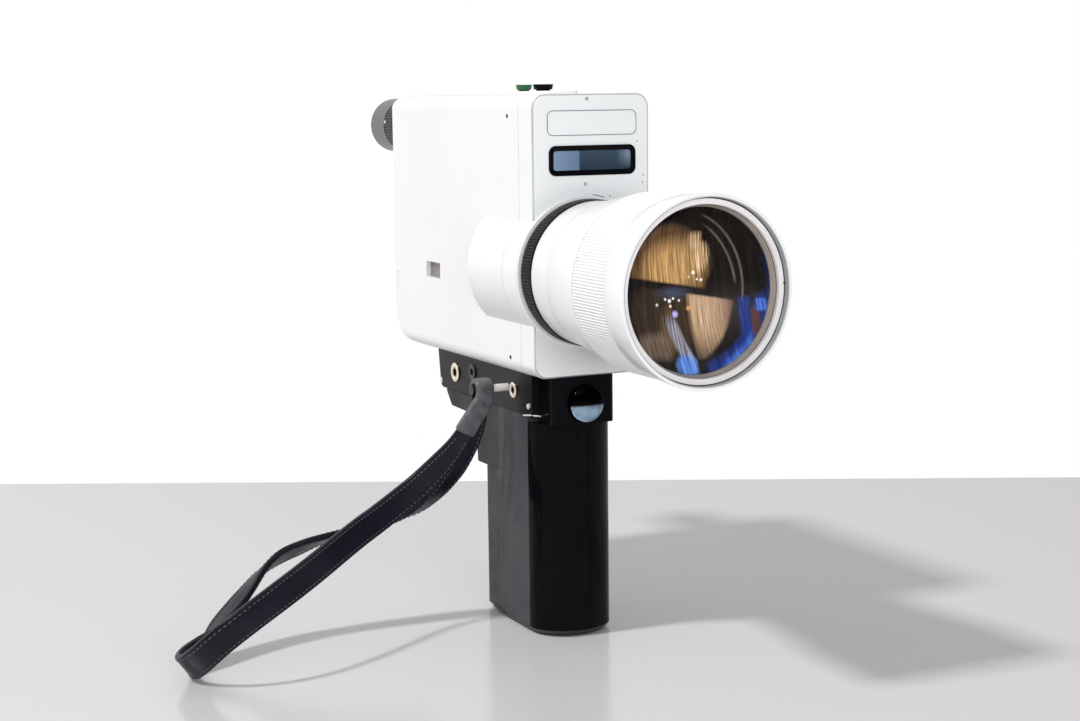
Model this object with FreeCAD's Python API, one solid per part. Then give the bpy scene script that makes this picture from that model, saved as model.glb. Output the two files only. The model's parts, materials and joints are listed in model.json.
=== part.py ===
import FreeCAD, Part
import math
import os

from FreeCAD import Vector

# Movie camera on a pistol grip, all sizes in millimetres.
# X runs to the viewer's right when facing the lens, Y to the rear, Z up.
# The origin is the centre of the grip's base, on the table.

# Body casing
BODY_WIDTH = 52.0
BODY_HEIGHT = 112.0
BODY_LENGTH = 147.0
BODY_WALL = 2.2
BODY_CORNER_R = 5.5
FRONT_EDGE_R = 1.2
REAR_TOP_R = 9.3
REAR_LOW_R = 20.0
CAVITY_CORNER_R = 0.5
FRONT_SETBACK = 34.0
FRONT_WALL = 2.5
SEAM = 0.3
RUN_GAP = 0.3
RUNNING_FIT = 0.05

# Film door on the -X side
DOOR_T = 4.0
DOOR_SEAM_DEPTH = 12.5
DOOR_BARREL_R = 2.0
DOOR_EDGE_R = 1.5
HINGE_LOW = 28.8
HINGE_TOP_DROP = 33.3
HINGE_KNUCKLE_L = 6.0
HINGE_PIN_R = 0.8
HINGE_PIN_L = 5.0
WINDOW_Y = 101.2
WINDOW_Z = 36.0
WINDOW_L = 15.3
WINDOW_H = 6.9
WINDOW_PANE_T = 1.6

# Boss of the lens on the casing's -X side
BOSS_R = 30.0
BOSS_WALL = 2.0
BOSS_LENGTH = 46.5
BOSS_EDGE_R = 1.0

# Lens, on an axis along Y
LENS_AXIS_INSET = 22.0
LENS_AXIS_SHARE = 0.375
COLLAR_R = 29.6
COLLAR_L = 1.2
TUBE_R = 25.5
TUBE_WALL = 2.0
TUBE_REAR_DEPTH = 42.0
TUBE_FLANGE_R = 27.6
TUBE_FLANGE_T = 3.0
ZOOM_RING_R = 29.0
ZOOM_RING_GROOVE_R = 28.2
ZOOM_RING_GROOVE_L = 1.8
ZOOM_RING_KNURL_L = 7.4
ZOOM_RING_TEETH = 140
ZOOM_RING_TOOTH = 0.45
SLEEVE_T = 1.4
SLEEVE_L = 29.5
BARREL_REAR_R = 28.5
BARREL_STEP_R = 29.4
BARREL_FRONT_R = 34.0
BARREL_STEP_AT = 14.7
BARREL_L = 44.6
BARREL_WALL = 2.2
BARREL_WEB_T = 6.0
RIB_BAND_L = 24.7
RIB_COUNT = 180
RIB_DEPTH = 0.35
FRONT_RING_L = 15.2
RIM_PROUD = 1.0
THREAD_STEP = 0.5
THREAD_L = 2.5
RETAINER_STEP = 1.5
RETAINER_L = 5.0
RETAINER_LIP = 4.3
FRONT_GLASS_STEP = 0.5
FRONT_GLASS_EDGE = 5.0
FRONT_GLASS_BEVEL = 1.5
FRONT_GLASS_CURVE_R = 110.0
FOCUS_WEB_T = 5.0
FOCUS_SEAT_T = 3.0
FOCUS_SEAT_W = 4.0
FOCUS_SEAT_EDGE_W = 2.5
SET_SCREW_R = 0.8
SET_SCREW_L = 1.2
SET_SCREW_ANGLES = (162.0, 167.0)
SET_SCREW_SINK = (1.2, 8.0)
ZOOM_CELL_L = 12.0
ZOOM_CELL_WALL = 3.0
ZOOM_CELL_FROM_FACE = 34.0
ZOOM_GLASS_T = 4.0
IRIS_T = 1.5
IRIS_HOLE_R = 6.0
REAR_CELL_L = 14.0
REAR_GLASS_R = 12.0
REAR_GLASS_T = 6.0

# Front plate details
PLATE_W = 39.7
PLATE_H = 9.9
PLATE_T = 0.5
PLATE_CENTRE = (4.35, 11.45)
PLATE_CORNER_R = 2.5
BEZEL_W = 38.4
BEZEL_H = 11.8
BEZEL_CORNER_R = 3.0
BEZEL_CENTRE = (4.3, 26.1)
BEZEL_PROUD = 0.8
BEZEL_RIM = 2.1
BEZEL_HOLE_R = 0.8
GLASS_SINK = 0.6
GLASS_T = 1.5
CELL_BLOCK_T = 3.0
CELL_R = 3.6
CELL_L = 6.0
CELL_OFFSET = 3.0
FRONT_SCREW_R = 0.8
FRONT_SCREW_L = 2.0
FRONT_SCREWS = ((2.1, 2.1), (1.2, 35.4))

# Buttons on the top
GREEN_R = 3.4
GREEN_CAP = 2.1
BLACK_R = 4.15
BLACK_CAP = 2.1
TOP_BUTTON_X = -1.0
GREEN_Y = 50.3
BLACK_Y = 32.3
TOP_BUTTON_LIFT = 1.8
TOP_BUTTON_NECK = 0.68
TOP_BUTTON_TAIL_T = 1.2
TOP_BUTTON_TRAVEL = 1.1
TOP_BUTTON_TAPER = 0.4
TOP_BASE_T = 1.2
TOP_BASE_HALF_W = 9.0
TOP_BASE_FROM = 16.0
TOP_BASE_TO = 60.0
TOP_BASE_EDGE_R = 0.6

# Eyepiece
EYE_X = -9.0
EYE_DROP = 13.5
EYE_R = 12.3
EYE_TUBE_R = 8.2
EYE_BORE_R = 7.2
EYE_FLANGE_L = 2.3
DIOPTRE_L = 8.7
EYECUP_L = 17.4
EYECUP_HOLLOW_L = 8.0
EYECUP_LIP = 1.5
EYE_LENS_T = 3.0
FINDER_R = 7.4
FINDER_WALL = 1.0
FINDER_FRONT = 36.0
PRISM_L = 16.0
PRISM_W = 15.6

# Chassis, shutter and drive
BULKHEAD_FROM_FACE = 52.0
BULKHEAD_T = 2.5
FRAME_T = 2.0
FRAME_X = 11.5
FRAME_MARGIN = 0.4
PILLAR_R = 3.0
PILLAR_INSET = 9.0
CASE_SCREW_R = 1.3
CASE_SCREW_HEAD_R = 2.3
CASE_SCREW_HEAD_T = 1.0
CASE_SCREW_L = 7.0
CASE_SCREW_SLOT_T = 0.7
CASE_SCREW_SLOT_W = 0.6
APERTURE_W = 5.8
APERTURE_H = 4.2
GATE_W = 16.0
GATE_H = 23.0
GATE_T = 2.0
CLAW_SLOT_W = 1.6
CLAW_STROKE = 2.1
CLAW_SLOT_SPARE = 1.0
CLAW_ARM_T = 1.6
CLAW_ARM_HALF_W = 2.0
CLAW_TOOTH_HALF_H = 0.5
CLAW_TOOTH_OUT = 0.6
CLAW_ARM_L = 18.0
CLAW_X = -6.0
SHUTTER_X = 5.0
SHUTTER_DROP = 13.5
SHUTTER_R = 18.5
SHUTTER_T = 0.8
SHUTTER_OPENING = 150.0
SHUTTER_FROM_BULKHEAD = 7.6
SHAFT_R = 1.5
GEAR_MODULE = 0.5
GEAR_TEETH = 48
PINION_TEETH = 14
GEAR_T = 2.5
GEAR_FROM_BULKHEAD = 2.6
GEAR_BACKLASH = 0.12
MOTOR_R = 6.3
MOTOR_L = 31.5
MOTOR_SHAFT_R = 1.0
WORM_R = 2.5
WORM_L = 10.0
WORM_GAP = 4.5
WHEEL_R = 12.0
WHEEL_T = 3.0
WHEEL_TEETH = 40
SPINDLE_R = 2.0
SPINDLE_HEAD_R = 4.5
SPINDLE_HEAD_L = 5.0
SPINDLE_REACH = 9.0
SPINDLE_NOTCH_R = 1.5
SEAL_T = 1.5
SEAL_W = 1.5
SEAL_FROM_BOSS = 4.0
BOARD_T = 1.6
BOARD_L = 36.0
BOARD_H = 64.0
BOARD_STANDOFF = 3.0
BOARD_FROM_REAR = 5.0
BOARD_ABOVE_CORNER = 6.0
BOARD_HOLE_INSET = 3.0
BOARD_PART_L = 14.0
BOARD_PART_H = 6.0
BOARD_PART_T = 2.5
BOARD_PART_PITCH = 11.0
BOARD_PART_MARGIN = 8.0
BOARD_PARTS = 5
STANDOFF_R = 1.5

# Controls on the +X side
DIAL_T = 5.0
DIAL_SHAFT_R = 2.0
DIAL_FLUTES = 24
DIAL_FLUTE_DEPTH = 0.5
SPEED_R = 11.0
EXPOSURE_R = 9.0
DIAL_DROP = 35.0
SPEED_Y = 62.0
EXPOSURE_Y = 92.0

# Black box under the body and the front block
BOX_HALF_W = 17.6
BOX_FRONT = 12.0
BOX_REAR = 107.5
BOX_H = 16.7
BOX_WALL = 2.0
BOX_CORNER_R = 3.0
BOX_REAR_SLOPE = 2.5
JACK_REAR_Y = 88.3
JACK_REAR_DROP = 8.3
JACK_REAR_R = 4.2
JACK_REAR_BORE = 1.78
JACK_FRONT_Y = 28.9
JACK_FRONT_DROP = 8.1
JACK_FRONT_R = 3.3
JACK_FRONT_BORE = 1.28
RELEASE_Y = 70.0
RELEASE_DROP = 5.9
RELEASE_R = 3.3
RELEASE_BORE = 1.5
SOCKET_RIM_T = 0.6
SOCKET_L = 10.0
SOCKET_BACK = 2.0
SOCKET_WALL = 1.1
STRAP_PIN_R = 1.6
STRAP_PIN_Y = 35.0
STRAP_PIN_DROP = 7.6
STRAP_PIN_OUT = 16.6
STRAP_PIN_IN = 5.0
STRAP_PIN_HEAD_R = 2.3
STRAP_PIN_HEAD_T = 1.0
RIVET_R = 1.0
RIVET_PROUD = 0.3
RIVETS = ((104.2, 13.5), (14.5, 12.6))
BLOCK_HALF_W = 14.0
BLOCK_H = 19.3
BLOCK_EDGE_R = 3.0
RELEASE_BUTTON_R = 7.4
RELEASE_BUTTON_L = 8.0
RELEASE_BUTTON_OUT = 3.8
RELEASE_BUTTON_DROP = 11.0
RELEASE_TRAVEL = 3.0
RELEASE_DOME_R = 24.0
RELEASE_EDGE_R = 0.8
RELEASE_STEM_R = 1.5
RELEASE_STEM_L = 9.1
SPRING_IN_R = 2.2
SPRING_OUT_R = 4.4
SPRING_L = 4.0
SWITCH_L = 10.0
SWITCH_W = 12.0
SWITCH_H = 9.0

# Grip
GRIP_H = 107.5
GRIP_FRONT = 32.5
GRIP_D_L = 15.0
GRIP_HALF_W = 17.6
GRIP_SIDE_END = 9.0
GRIP_REAR_HALF_W = 15.0
GRIP_BACK = 32.0
GRIP_REAR_R = 6.5
GRIP_HOLLOW_TOP = 67.0
CAP_T = 2.8
CAP_CHAMFER = 2.2
CHANNEL_W = 5.4
CHANNEL_DEPTH = 0.5
STUD_GAP = 0.25
CHANNEL_DROP = 25.0
TANG = ((64.8, 17.7, 2.0), (59.5, 23.7, 2.0), (44.2, 24.1, 6.0), (33.8, 30.2, 9.0), (GRIP_BACK, 44.0, 0))
TRIPOD_Y = -12.0
TRIPOD_R = 6.0
TRIPOD_BORE = 3.175
TRIPOD_L = 9.0
TRIPOD_SINK = 0.3
TRIPOD_DEPTH = 8.0
LOCK_Y = 14.0
LOCK_R = 5.0
LOCK_SINK = 0.4
LOCK_SLOT_W = 1.6
LOCK_SLOT_DEPTH = 1.0
LOCK_STEM_R = 2.0
LOCK_L = 8.0
CELL_AA_R = 7.2
CELL_AA_L = 49.2
CELL_AA_CAP_R = 2.7
CELL_AA_CAP_L = 1.3
CELL_PITCH = 14.5
CELL_ROWS = (-12.5, 2.0, 16.5)
HOLDER_PLATE_T = 1.5
HOLDER_SPINE = 3.4
CONTACT_R = 4.0
CONTACT_T = 1.0
HOLDER_BOTTOM = 10.0

# Wrist strap: flat leather, looped over the pin, out to the table and back to the pin.
# Each route point is (way out from the pin, way back from it, height over the table, lean of the
# width from level to upright, twist about the run, width), with the angles in degrees.
STRAP_T = 2.6
STRAP_PIN_W = 7.0
STRAP_BUTT = 0.3
STRAP_END_PLAY = 0.4
STRAP_ROUTE = (
    (0.6, -3.2, 96.0, 8, 0, 7.0), (2.4, -2.8, 92.5, 18, 0, 7.0), (5.7, -0.8, 86.6, 32, 0, 7.0),
    (8.7, 2.0, 80.1, 43, 0, 7.6), (11.3, 4.6, 75.1, 49, 0, 8.6), (15.6, 7.8, 69.0, 53, 0, 10.0),
    (23.6, 11.0, 60.5, 55, 0, 11.2), (32.6, 11.2, 54.3, 55, 0, 11.5), (42.8, 8.0, 49.4, 55, 0, 11.5),
    (54.3, 1.2, 45.8, 55, 0, 11.5), (66.1, -7.8, 42.6, 55, 0, 11.5), (77.6, -16.4, 39.2, 55, 0, 11.5),
    (88.3, -23.6, 35.9, 55, 0, 11.5), (98.3, -29.2, 32.5, 55, 0, 11.5), (107.2, -32.2, 28.6, 55, 0, 11.5),
    (115.4, -33.0, 24.0, 55, 0, 11.5), (122.7, -31.0, 18.4, 55, 0, 11.5), (128.6, -25.6, 11.4, 55, 0, 11.5),
    (131.2, -19.6, 7.1, 55, 0, 11.5), (131.4, -13.8, 5.8, 55, 0, 11.5), (129.0, -8.4, 6.2, 56, 12, 11.5),
    (124.0, -3.0, 7.8, 58, 34, 11.5), (117.8, 3.0, 10.4, 60, 62, 11.5), (111.2, 8.5, 14.3, 60, 84, 11.5),
    (103.4, 13.5, 19.2, 60, 88, 11.5), (97.2, 17.0, 23.7, 60, 82, 11.5), (89.6, 20.3, 29.8, 60, 68, 11.5),
    (81.4, 21.8, 34.3, 60, 54, 11.5), (72.7, 22.4, 36.9, 60, 54, 11.5), (63.9, 22.6, 39.1, 60, 62, 11.5),
    (50.9, 22.0, 41.7, 60, 72, 11.5), (37.9, 21.2, 43.6, 58, 76, 11.5), (29.4, 20.0, 45.6, 55, 70, 11.5),
    (21.2, 17.8, 49.4, 52, 54, 11.2), (14.4, 14.6, 56.0, 48, 38, 10.4), (10.3, 12.4, 61.4, 44, 26, 9.6),
    (6.7, 10.2, 67.0, 40, 16, 8.8), (2.8, 7.6, 75.2, 32, 8, 7.8), (0.6, 5.4, 82.9, 22, 0, 7.2),
    (-0.4, 3.8, 90.0, 10, 0, 7.0), (-0.2, 3.3, 96.0, 3, 0, 7.0),
)
STRAP_STEPS = 2
STRAP_TURN_STEPS = 8
KEEPER_T = 0.9
KEEPER_PLAY = 0.1
KEEPER_FROM = 5.0
KEEPER_TO = 18.5
STRAP_ROUTE_PIN_Z = 99.9

RIM_R = BARREL_FRONT_R + RIM_PROUD
THREAD_R = BARREL_FRONT_R - THREAD_STEP
RETAINER_R = THREAD_R - RETAINER_STEP
FRONT_GLASS_R = RETAINER_R - FRONT_GLASS_STEP
BODY_LEFT = -LENS_AXIS_INSET
BODY_RIGHT = BODY_LEFT + BODY_WIDTH
BODY_BOTTOM = GRIP_H
BODY_TOP = BODY_BOTTOM + BODY_HEIGHT
FACE_Y = -FRONT_SETBACK
REAR_Y = FACE_Y + BODY_LENGTH
LENS_Z = BODY_BOTTOM + LENS_AXIS_SHARE * BODY_HEIGHT
DOOR_INNER_X = BODY_LEFT + DOOR_T
CASING_X = DOOR_INNER_X + SEAM
SEAM_Y = FACE_Y + DOOR_SEAM_DEPTH
HINGE_ZS = (BODY_BOTTOM + HINGE_LOW, BODY_TOP - HINGE_TOP_DROP)
EYE_Z = BODY_TOP - EYE_DROP
CHANNEL_TOP = BODY_BOTTOM - CHANNEL_DROP
BACKWARD = Vector(0, 1, 0)
FORWARD = Vector(0, -1, 0)
RIGHT = Vector(1, 0, 0)
LEFT = Vector(-1, 0, 0)
UP = Vector(0, 0, 1)

os.makedirs("parts", exist_ok=True)


def save(node, shape):
    """Write one sub-part as a STEP file named after its node."""
    solids = shape.Solids
    body = solids[0] if len(solids) == 1 else Part.makeCompound(solids)
    body.exportStep("parts/" + node + ".step")
    return body


def block(x0, x1, y0, y1, z0, z1):
    """Box between two corners."""
    return Part.makeBox(x1 - x0, y1 - y0, z1 - z0, Vector(x0, y0, z0))


def rod(radius, start, length, direction):
    """Cylinder from a start point along a direction."""
    return Part.makeCylinder(radius, length, Vector(*start), direction)


def ring(outer, inner, start, length, direction):
    """Plain tube."""
    return rod(outer, start, length, direction).cut(rod(inner, start, length, direction))


def join(first, *others):
    """Union without the seams between flush faces."""
    result = first
    for other in others:
        result = result.fuse(other)
    return result.removeSplitter()


def rounded_outline(corners, place):
    """Closed wire through corners (u, v, radius), each an arc; place maps (u, v) to a point."""
    count = len(corners)
    starts = []
    mids = []
    ends = []
    for i in range(count):
        u, v, radius = corners[i]
        before = corners[i - 1]
        after = corners[(i + 1) % count]
        a = Vector(before[0] - u, before[1] - v, 0).normalize()
        b = Vector(after[0] - u, after[1] - v, 0).normalize()
        half = math.acos(max(-1.0, min(1.0, a.dot(b)))) / 2
        reach = radius / math.tan(half) if radius > 0 else 0.0
        centre_way = (a + b).normalize() if radius > 0 else Vector(0, 0, 0)
        sink = radius / math.sin(half) - radius if radius > 0 else 0.0
        corner = Vector(u, v, 0)
        starts.append(corner + a * reach)
        mids.append(corner + centre_way * sink)
        ends.append(corner + b * reach)
    edges = []
    for i in range(count):
        if corners[i][2] > 0:
            points = [place(p.x, p.y) for p in (starts[i], mids[i], ends[i])]
            edges.append(Part.Arc(*points).toShape())
        nxt = (i + 1) % count
        here = place(ends[i].x, ends[i].y)
        there = place(starts[nxt].x, starts[nxt].y)
        if here.distanceToPoint(there) > 1e-6:
            edges.append(Part.LineSegment(here, there).toShape())
    return Part.Wire(edges)


def prism(corners, place, way):
    """Straight extrusion of a rounded outline."""
    return Part.Face(rounded_outline(corners, place)).extrude(way)


def turned(points, x, z):
    """Solid of revolution about the axis along Y at (x, z); points are (y, radius)."""
    path = [Vector(x + r, y, z) for y, r in points]
    face = Part.Face(Part.makePolygon(path + [path[0]]))
    return face.revolve(Vector(x, 0, z), BACKWARD, 360)


def toothed(count, tip_r, root_r, tip_share, root_share, place, way, phase=0.0):
    """Extruded wheel with straight-sided teeth; the shares are parts of one pitch at tip and root."""
    points = []
    pitch = 2 * math.pi / count
    for i in range(count):
        middle = i * pitch + phase
        root_half, tip_half = root_share / 2, tip_share / 2
        for radius, offset in (
            (root_r, -root_half), (tip_r, -tip_half), (tip_r, tip_half), (root_r, root_half),
        ):
            angle = middle + offset * pitch
            points.append(place(radius * math.cos(angle), radius * math.sin(angle)))
    return Part.Face(Part.makePolygon(points + [points[0]])).extrude(way)


def edges_in_plane(shape, axis, value):
    """Edges whose every vertex lies in the plane where the coordinate named by axis equals value."""
    found = []
    for edge in shape.Edges:
        if all(abs(getattr(v.Point, axis) - value) < 1e-4 for v in edge.Vertexes):
            found.append(edge)
    return found


def casing_block(inset, x0, x1):
    """Rounded block of the body's side profile, drawn in by inset, between two X values."""
    corners = (
        (FACE_Y + inset, BODY_BOTTOM + inset, CAVITY_CORNER_R),
        (REAR_Y - inset, BODY_BOTTOM + inset, max(REAR_LOW_R - inset, CAVITY_CORNER_R)),
        (REAR_Y - inset, BODY_TOP - inset, max(REAR_TOP_R - inset, CAVITY_CORNER_R)),
        (FACE_Y + inset, BODY_TOP - inset, CAVITY_CORNER_R),
    )
    return prism(corners, lambda u, v: Vector(x0, u, v), Vector(x1 - x0, 0, 0))


def body_blank():
    """The whole body's outer form: a rounded bar along Y, with its rear corners rounded off."""
    corners = (
        (BODY_LEFT, BODY_BOTTOM, BODY_CORNER_R), (BODY_RIGHT, BODY_BOTTOM, BODY_CORNER_R),
        (BODY_RIGHT, BODY_TOP, BODY_CORNER_R), (BODY_LEFT, BODY_TOP, BODY_CORNER_R),
    )
    bar = prism(corners, lambda u, v: Vector(u, FACE_Y, v), Vector(0, BODY_LENGTH, 0))
    bar = bar.makeFillet(FRONT_EDGE_R, edges_in_plane(bar, "y", FACE_Y))
    beyond = FACE_Y - 1
    side = (
        (beyond, BODY_BOTTOM, 0), (REAR_Y, BODY_BOTTOM, REAR_LOW_R), (REAR_Y, BODY_TOP, REAR_TOP_R),
        (beyond, BODY_TOP, 0),
    )
    return bar.common(prism(side, lambda u, v: Vector(BODY_LEFT, u, v), Vector(BODY_WIDTH, 0, 0)))


def body_cavity():
    """Space inside the casing's walls."""
    return casing_block(BODY_WALL, CASING_X - DOOR_T, BODY_RIGHT - BODY_WALL)


def around(x0, x1, y0, y1):
    """Tall slab used to keep part of the body's blank."""
    return block(x0, x1, y0, y1, BODY_BOTTOM - 1, BODY_TOP + 1)


def rounded_plate(width, height, corner, centre, y0, y1):
    """Plate with rounded corners lying in the front face; centre is (x, drop under the body's top)."""
    cx, cz = centre[0], BODY_TOP - centre[1]
    half_w, half_h = width / 2, height / 2
    corners = (
        (cx - half_w, cz - half_h, corner), (cx + half_w, cz - half_h, corner),
        (cx + half_w, cz + half_h, corner), (cx - half_w, cz + half_h, corner),
    )
    return prism(corners, lambda u, v: Vector(u, y0, v), Vector(0, y1 - y0, 0))


def lens_rod(radius, y0, y1):
    """Cylinder about the lens axis."""
    return rod(radius, (0, y0, LENS_Z), y1 - y0, BACKWARD)


def body_y(depth):
    """Y of a place measured back from the body's front face."""
    return FACE_Y + depth


def body_z(height):
    """Z of a place measured up from the body's bottom."""
    return BODY_BOTTOM + height


# Front housing, casing and film door
def front_housing():
    rear = SEAM_Y - SEAM
    shell = body_blank().common(around(BODY_LEFT - 1, BODY_RIGHT + 1, FACE_Y - 1, rear))
    inner = casing_block(BODY_WALL, BODY_LEFT + BODY_WALL, BODY_RIGHT - BODY_WALL)
    inner = inner.common(around(BODY_LEFT - 1, BODY_RIGHT + 1, FACE_Y + FRONT_WALL, rear + 1))
    shell = shell.cut(inner)
    boss = lens_rod(BOSS_R, FACE_Y, rear).common(around(-BOSS_R - 1, BODY_LEFT + BODY_WALL / 2, FACE_Y, rear))
    collar = lens_rod(COLLAR_R, FACE_Y - COLLAR_L, FACE_Y + 1)
    shell = join(shell, boss, collar)
    shell = shell.cut(lens_rod(BOSS_R - BOSS_WALL, FACE_Y + FRONT_WALL, rear + 1))
    shell = shell.cut(lens_rod(TUBE_R, FACE_Y - COLLAR_L - 1, FACE_Y + FRONT_WALL + 1))
    recess_end = FACE_Y + PLATE_T
    shell = shell.cut(rounded_plate(PLATE_W, PLATE_H, PLATE_CORNER_R, PLATE_CENTRE, FACE_Y - 1, recess_end))
    wall_end = FACE_Y + FRONT_WALL + 1
    shell = shell.cut(rounded_plate(BEZEL_W, BEZEL_H, BEZEL_CORNER_R, BEZEL_CENTRE, FACE_Y - 1, wall_end))
    for x, drop in FRONT_SCREWS:
        shell = shell.cut(rod(FRONT_SCREW_R, (x, FACE_Y - 1, BODY_TOP - drop), FRONT_SCREW_L + 1, BACKWARD))
    return shell


def name_plate():
    return rounded_plate(PLATE_W, PLATE_H, PLATE_CORNER_R, PLATE_CENTRE, FACE_Y - 0.1, FACE_Y + PLATE_T)


def window_bezel():
    y0 = FACE_Y - BEZEL_PROUD
    y1 = FACE_Y + FRONT_WALL
    outer = rounded_plate(BEZEL_W, BEZEL_H, BEZEL_CORNER_R, BEZEL_CENTRE, y0, y1)
    hole_w = BEZEL_W - 2 * BEZEL_RIM
    hole_h = BEZEL_H - 2 * BEZEL_RIM
    return outer.cut(rounded_plate(hole_w, hole_h, BEZEL_HOLE_R, BEZEL_CENTRE, y0 - 1, y1 + 1))


def window_glass():
    y0 = FACE_Y - BEZEL_PROUD + GLASS_SINK
    width = BEZEL_W - 2 * BEZEL_RIM
    height = BEZEL_H - 2 * BEZEL_RIM
    return rounded_plate(width, height, BEZEL_HOLE_R, BEZEL_CENTRE, y0, y0 + GLASS_T)


def light_cell():
    """Light cell and its carrier plate, closing the window from behind."""
    y0 = FACE_Y + FRONT_WALL
    plate = rounded_plate(BEZEL_W - BEZEL_RIM, BEZEL_H - 1.0, 1.0, BEZEL_CENTRE, y0, y0 + CELL_BLOCK_T)
    cell_x, cell_z = BEZEL_CENTRE[0] + CELL_OFFSET, BODY_TOP - BEZEL_CENTRE[1]
    return join(plate, rod(CELL_R, (cell_x, y0 + CELL_BLOCK_T, cell_z), CELL_L, BACKWARD))


def button_base():
    """Low pad on the casing's top, in which the two buttons sit."""
    y0, y1 = body_y(TOP_BASE_FROM), body_y(TOP_BASE_TO)
    x0, x1 = TOP_BUTTON_X - TOP_BASE_HALF_W, TOP_BUTTON_X + TOP_BASE_HALF_W
    corner = TOP_BASE_HALF_W / 2
    corners = ((x0, y0, corner), (x1, y0, corner), (x1, y1, corner), (x0, y1, corner))
    pad = prism(corners, lambda u, v: Vector(u, v, BODY_TOP - 1), Vector(0, 0, 1 + TOP_BASE_T))
    return pad.makeFillet(TOP_BASE_EDGE_R, edges_in_plane(pad, "z", BODY_TOP + TOP_BASE_T))


def body_shell():
    keep = around(CASING_X, BODY_RIGHT + 1, SEAM_Y, REAR_Y + 1)
    shell = body_blank().common(keep).cut(body_cavity())
    inside_x = BODY_RIGHT - BODY_WALL - 1
    shell = shell.cut(rod(EYE_TUBE_R, (EYE_X, REAR_Y - BODY_WALL - 1, EYE_Z), BODY_WALL + 2, BACKWARD))
    shell = join(shell, button_base())
    for y, radius in ((GREEN_Y, GREEN_R), (BLACK_Y, BLACK_R)):
        shell = shell.cut(rod(radius + RUN_GAP, (TOP_BUTTON_X, body_y(y), BODY_TOP), TOP_BASE_T + 1, UP))
        hole_r = radius * TOP_BUTTON_NECK + RUN_GAP
        shell = shell.cut(rod(hole_r, (TOP_BUTTON_X, body_y(y), BODY_TOP - BODY_WALL - 1), BODY_WALL + 2, UP))
    for depth in (SPEED_Y, EXPOSURE_Y):
        hole_r = DIAL_SHAFT_R + RUNNING_FIT
        shell = shell.cut(rod(hole_r, (inside_x, body_y(depth), BODY_TOP - DIAL_DROP), BODY_WALL + 2, RIGHT))
    head_x = BODY_RIGHT - CASE_SCREW_HEAD_T
    for y, z in pillar_places():
        shell = shell.cut(rod(CASE_SCREW_R, (inside_x, y, z), BODY_WALL + 2, RIGHT))
        shell = shell.cut(rod(CASE_SCREW_HEAD_R, (head_x, y, z), CASE_SCREW_HEAD_T + 1, RIGHT))
    return shell


def hinge_axis():
    """Place (x, y) of the film door's hinge."""
    return BODY_LEFT + DOOR_BARREL_R, REAR_Y - DOOR_BARREL_R


def film_door():
    keep = around(BODY_LEFT - 1, DOOR_INNER_X, SEAM_Y, REAR_Y + 1)
    slab = body_blank().common(keep)
    boss_end = FACE_Y + BOSS_LENGTH
    boss = lens_rod(BOSS_R, SEAM_Y, boss_end).common(around(-BOSS_R - 1, DOOR_INNER_X, SEAM_Y, boss_end))
    round_edges = [e for e in edges_in_plane(boss, "y", boss_end) if e.Curve.TypeId == "Part::GeomCircle"]
    boss = boss.makeFillet(BOSS_EDGE_R, round_edges)
    slab = join(slab, boss)
    slab = slab.cut(lens_rod(BOSS_R - BOSS_WALL, SEAM_Y - 1, boss_end - BOSS_WALL))
    ex, ey = BODY_LEFT + DOOR_EDGE_R, REAR_Y - DOOR_EDGE_R
    edge = around(BODY_LEFT - 1, ex, ey, REAR_Y + 1)
    slab = slab.cut(edge.cut(rod(DOOR_EDGE_R, (ex, ey, BODY_BOTTOM - 2), BODY_HEIGHT + 4, UP)))
    hx, hy = hinge_axis()
    relief = around(hx, DOOR_INNER_X + 1, hy, REAR_Y + 1)
    relief = relief.cut(rod(DOOR_BARREL_R, (hx, hy, BODY_BOTTOM - 2), BODY_HEIGHT + 4, UP))
    slab = slab.cut(relief)
    for z in HINGE_ZS:
        half = HINGE_KNUCKLE_L / 2 + RUN_GAP
        reach = DOOR_BARREL_R + RUN_GAP
        slab = slab.cut(block(BODY_LEFT - 1, DOOR_INNER_X + 1, hy - reach, REAR_Y + 1, z - half, z + half))
        pin_half = HINGE_KNUCKLE_L / 2 + HINGE_PIN_L + RUN_GAP
        slab = slab.cut(rod(HINGE_PIN_R + RUNNING_FIT, (hx, hy, z - pin_half), 2 * pin_half, UP))
    y0 = body_y(WINDOW_Y) - WINDOW_L / 2
    z0 = body_z(WINDOW_Z) - WINDOW_H / 2
    slab = slab.cut(block(BODY_LEFT - 1, DOOR_INNER_X + 1, y0, y0 + WINDOW_L, z0, z0 + WINDOW_H))
    return slab


def door_window():
    y0 = body_y(WINDOW_Y) - WINDOW_L / 2
    z0 = body_z(WINDOW_Z) - WINDOW_H / 2
    x1 = DOOR_INNER_X - 0.4
    return block(x1 - WINDOW_PANE_T, x1, y0, y0 + WINDOW_L, z0, z0 + WINDOW_H)


def door_seal():
    """Foam strip inside the door that keeps light out of the film chamber."""
    inset = BODY_WALL + RUN_GAP
    outer = casing_block(inset, DOOR_INNER_X, DOOR_INNER_X + SEAL_T)
    inner = casing_block(inset + SEAL_W, DOOR_INNER_X - 1, DOOR_INNER_X + SEAL_T + 1)
    front = FACE_Y + BOSS_LENGTH + SEAL_FROM_BOSS
    rear = hinge_axis()[1] - DOOR_BARREL_R - RUN_GAP
    return outer.cut(inner).common(around(DOOR_INNER_X - 1, DOOR_INNER_X + SEAL_T + 1, front, rear))


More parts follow.
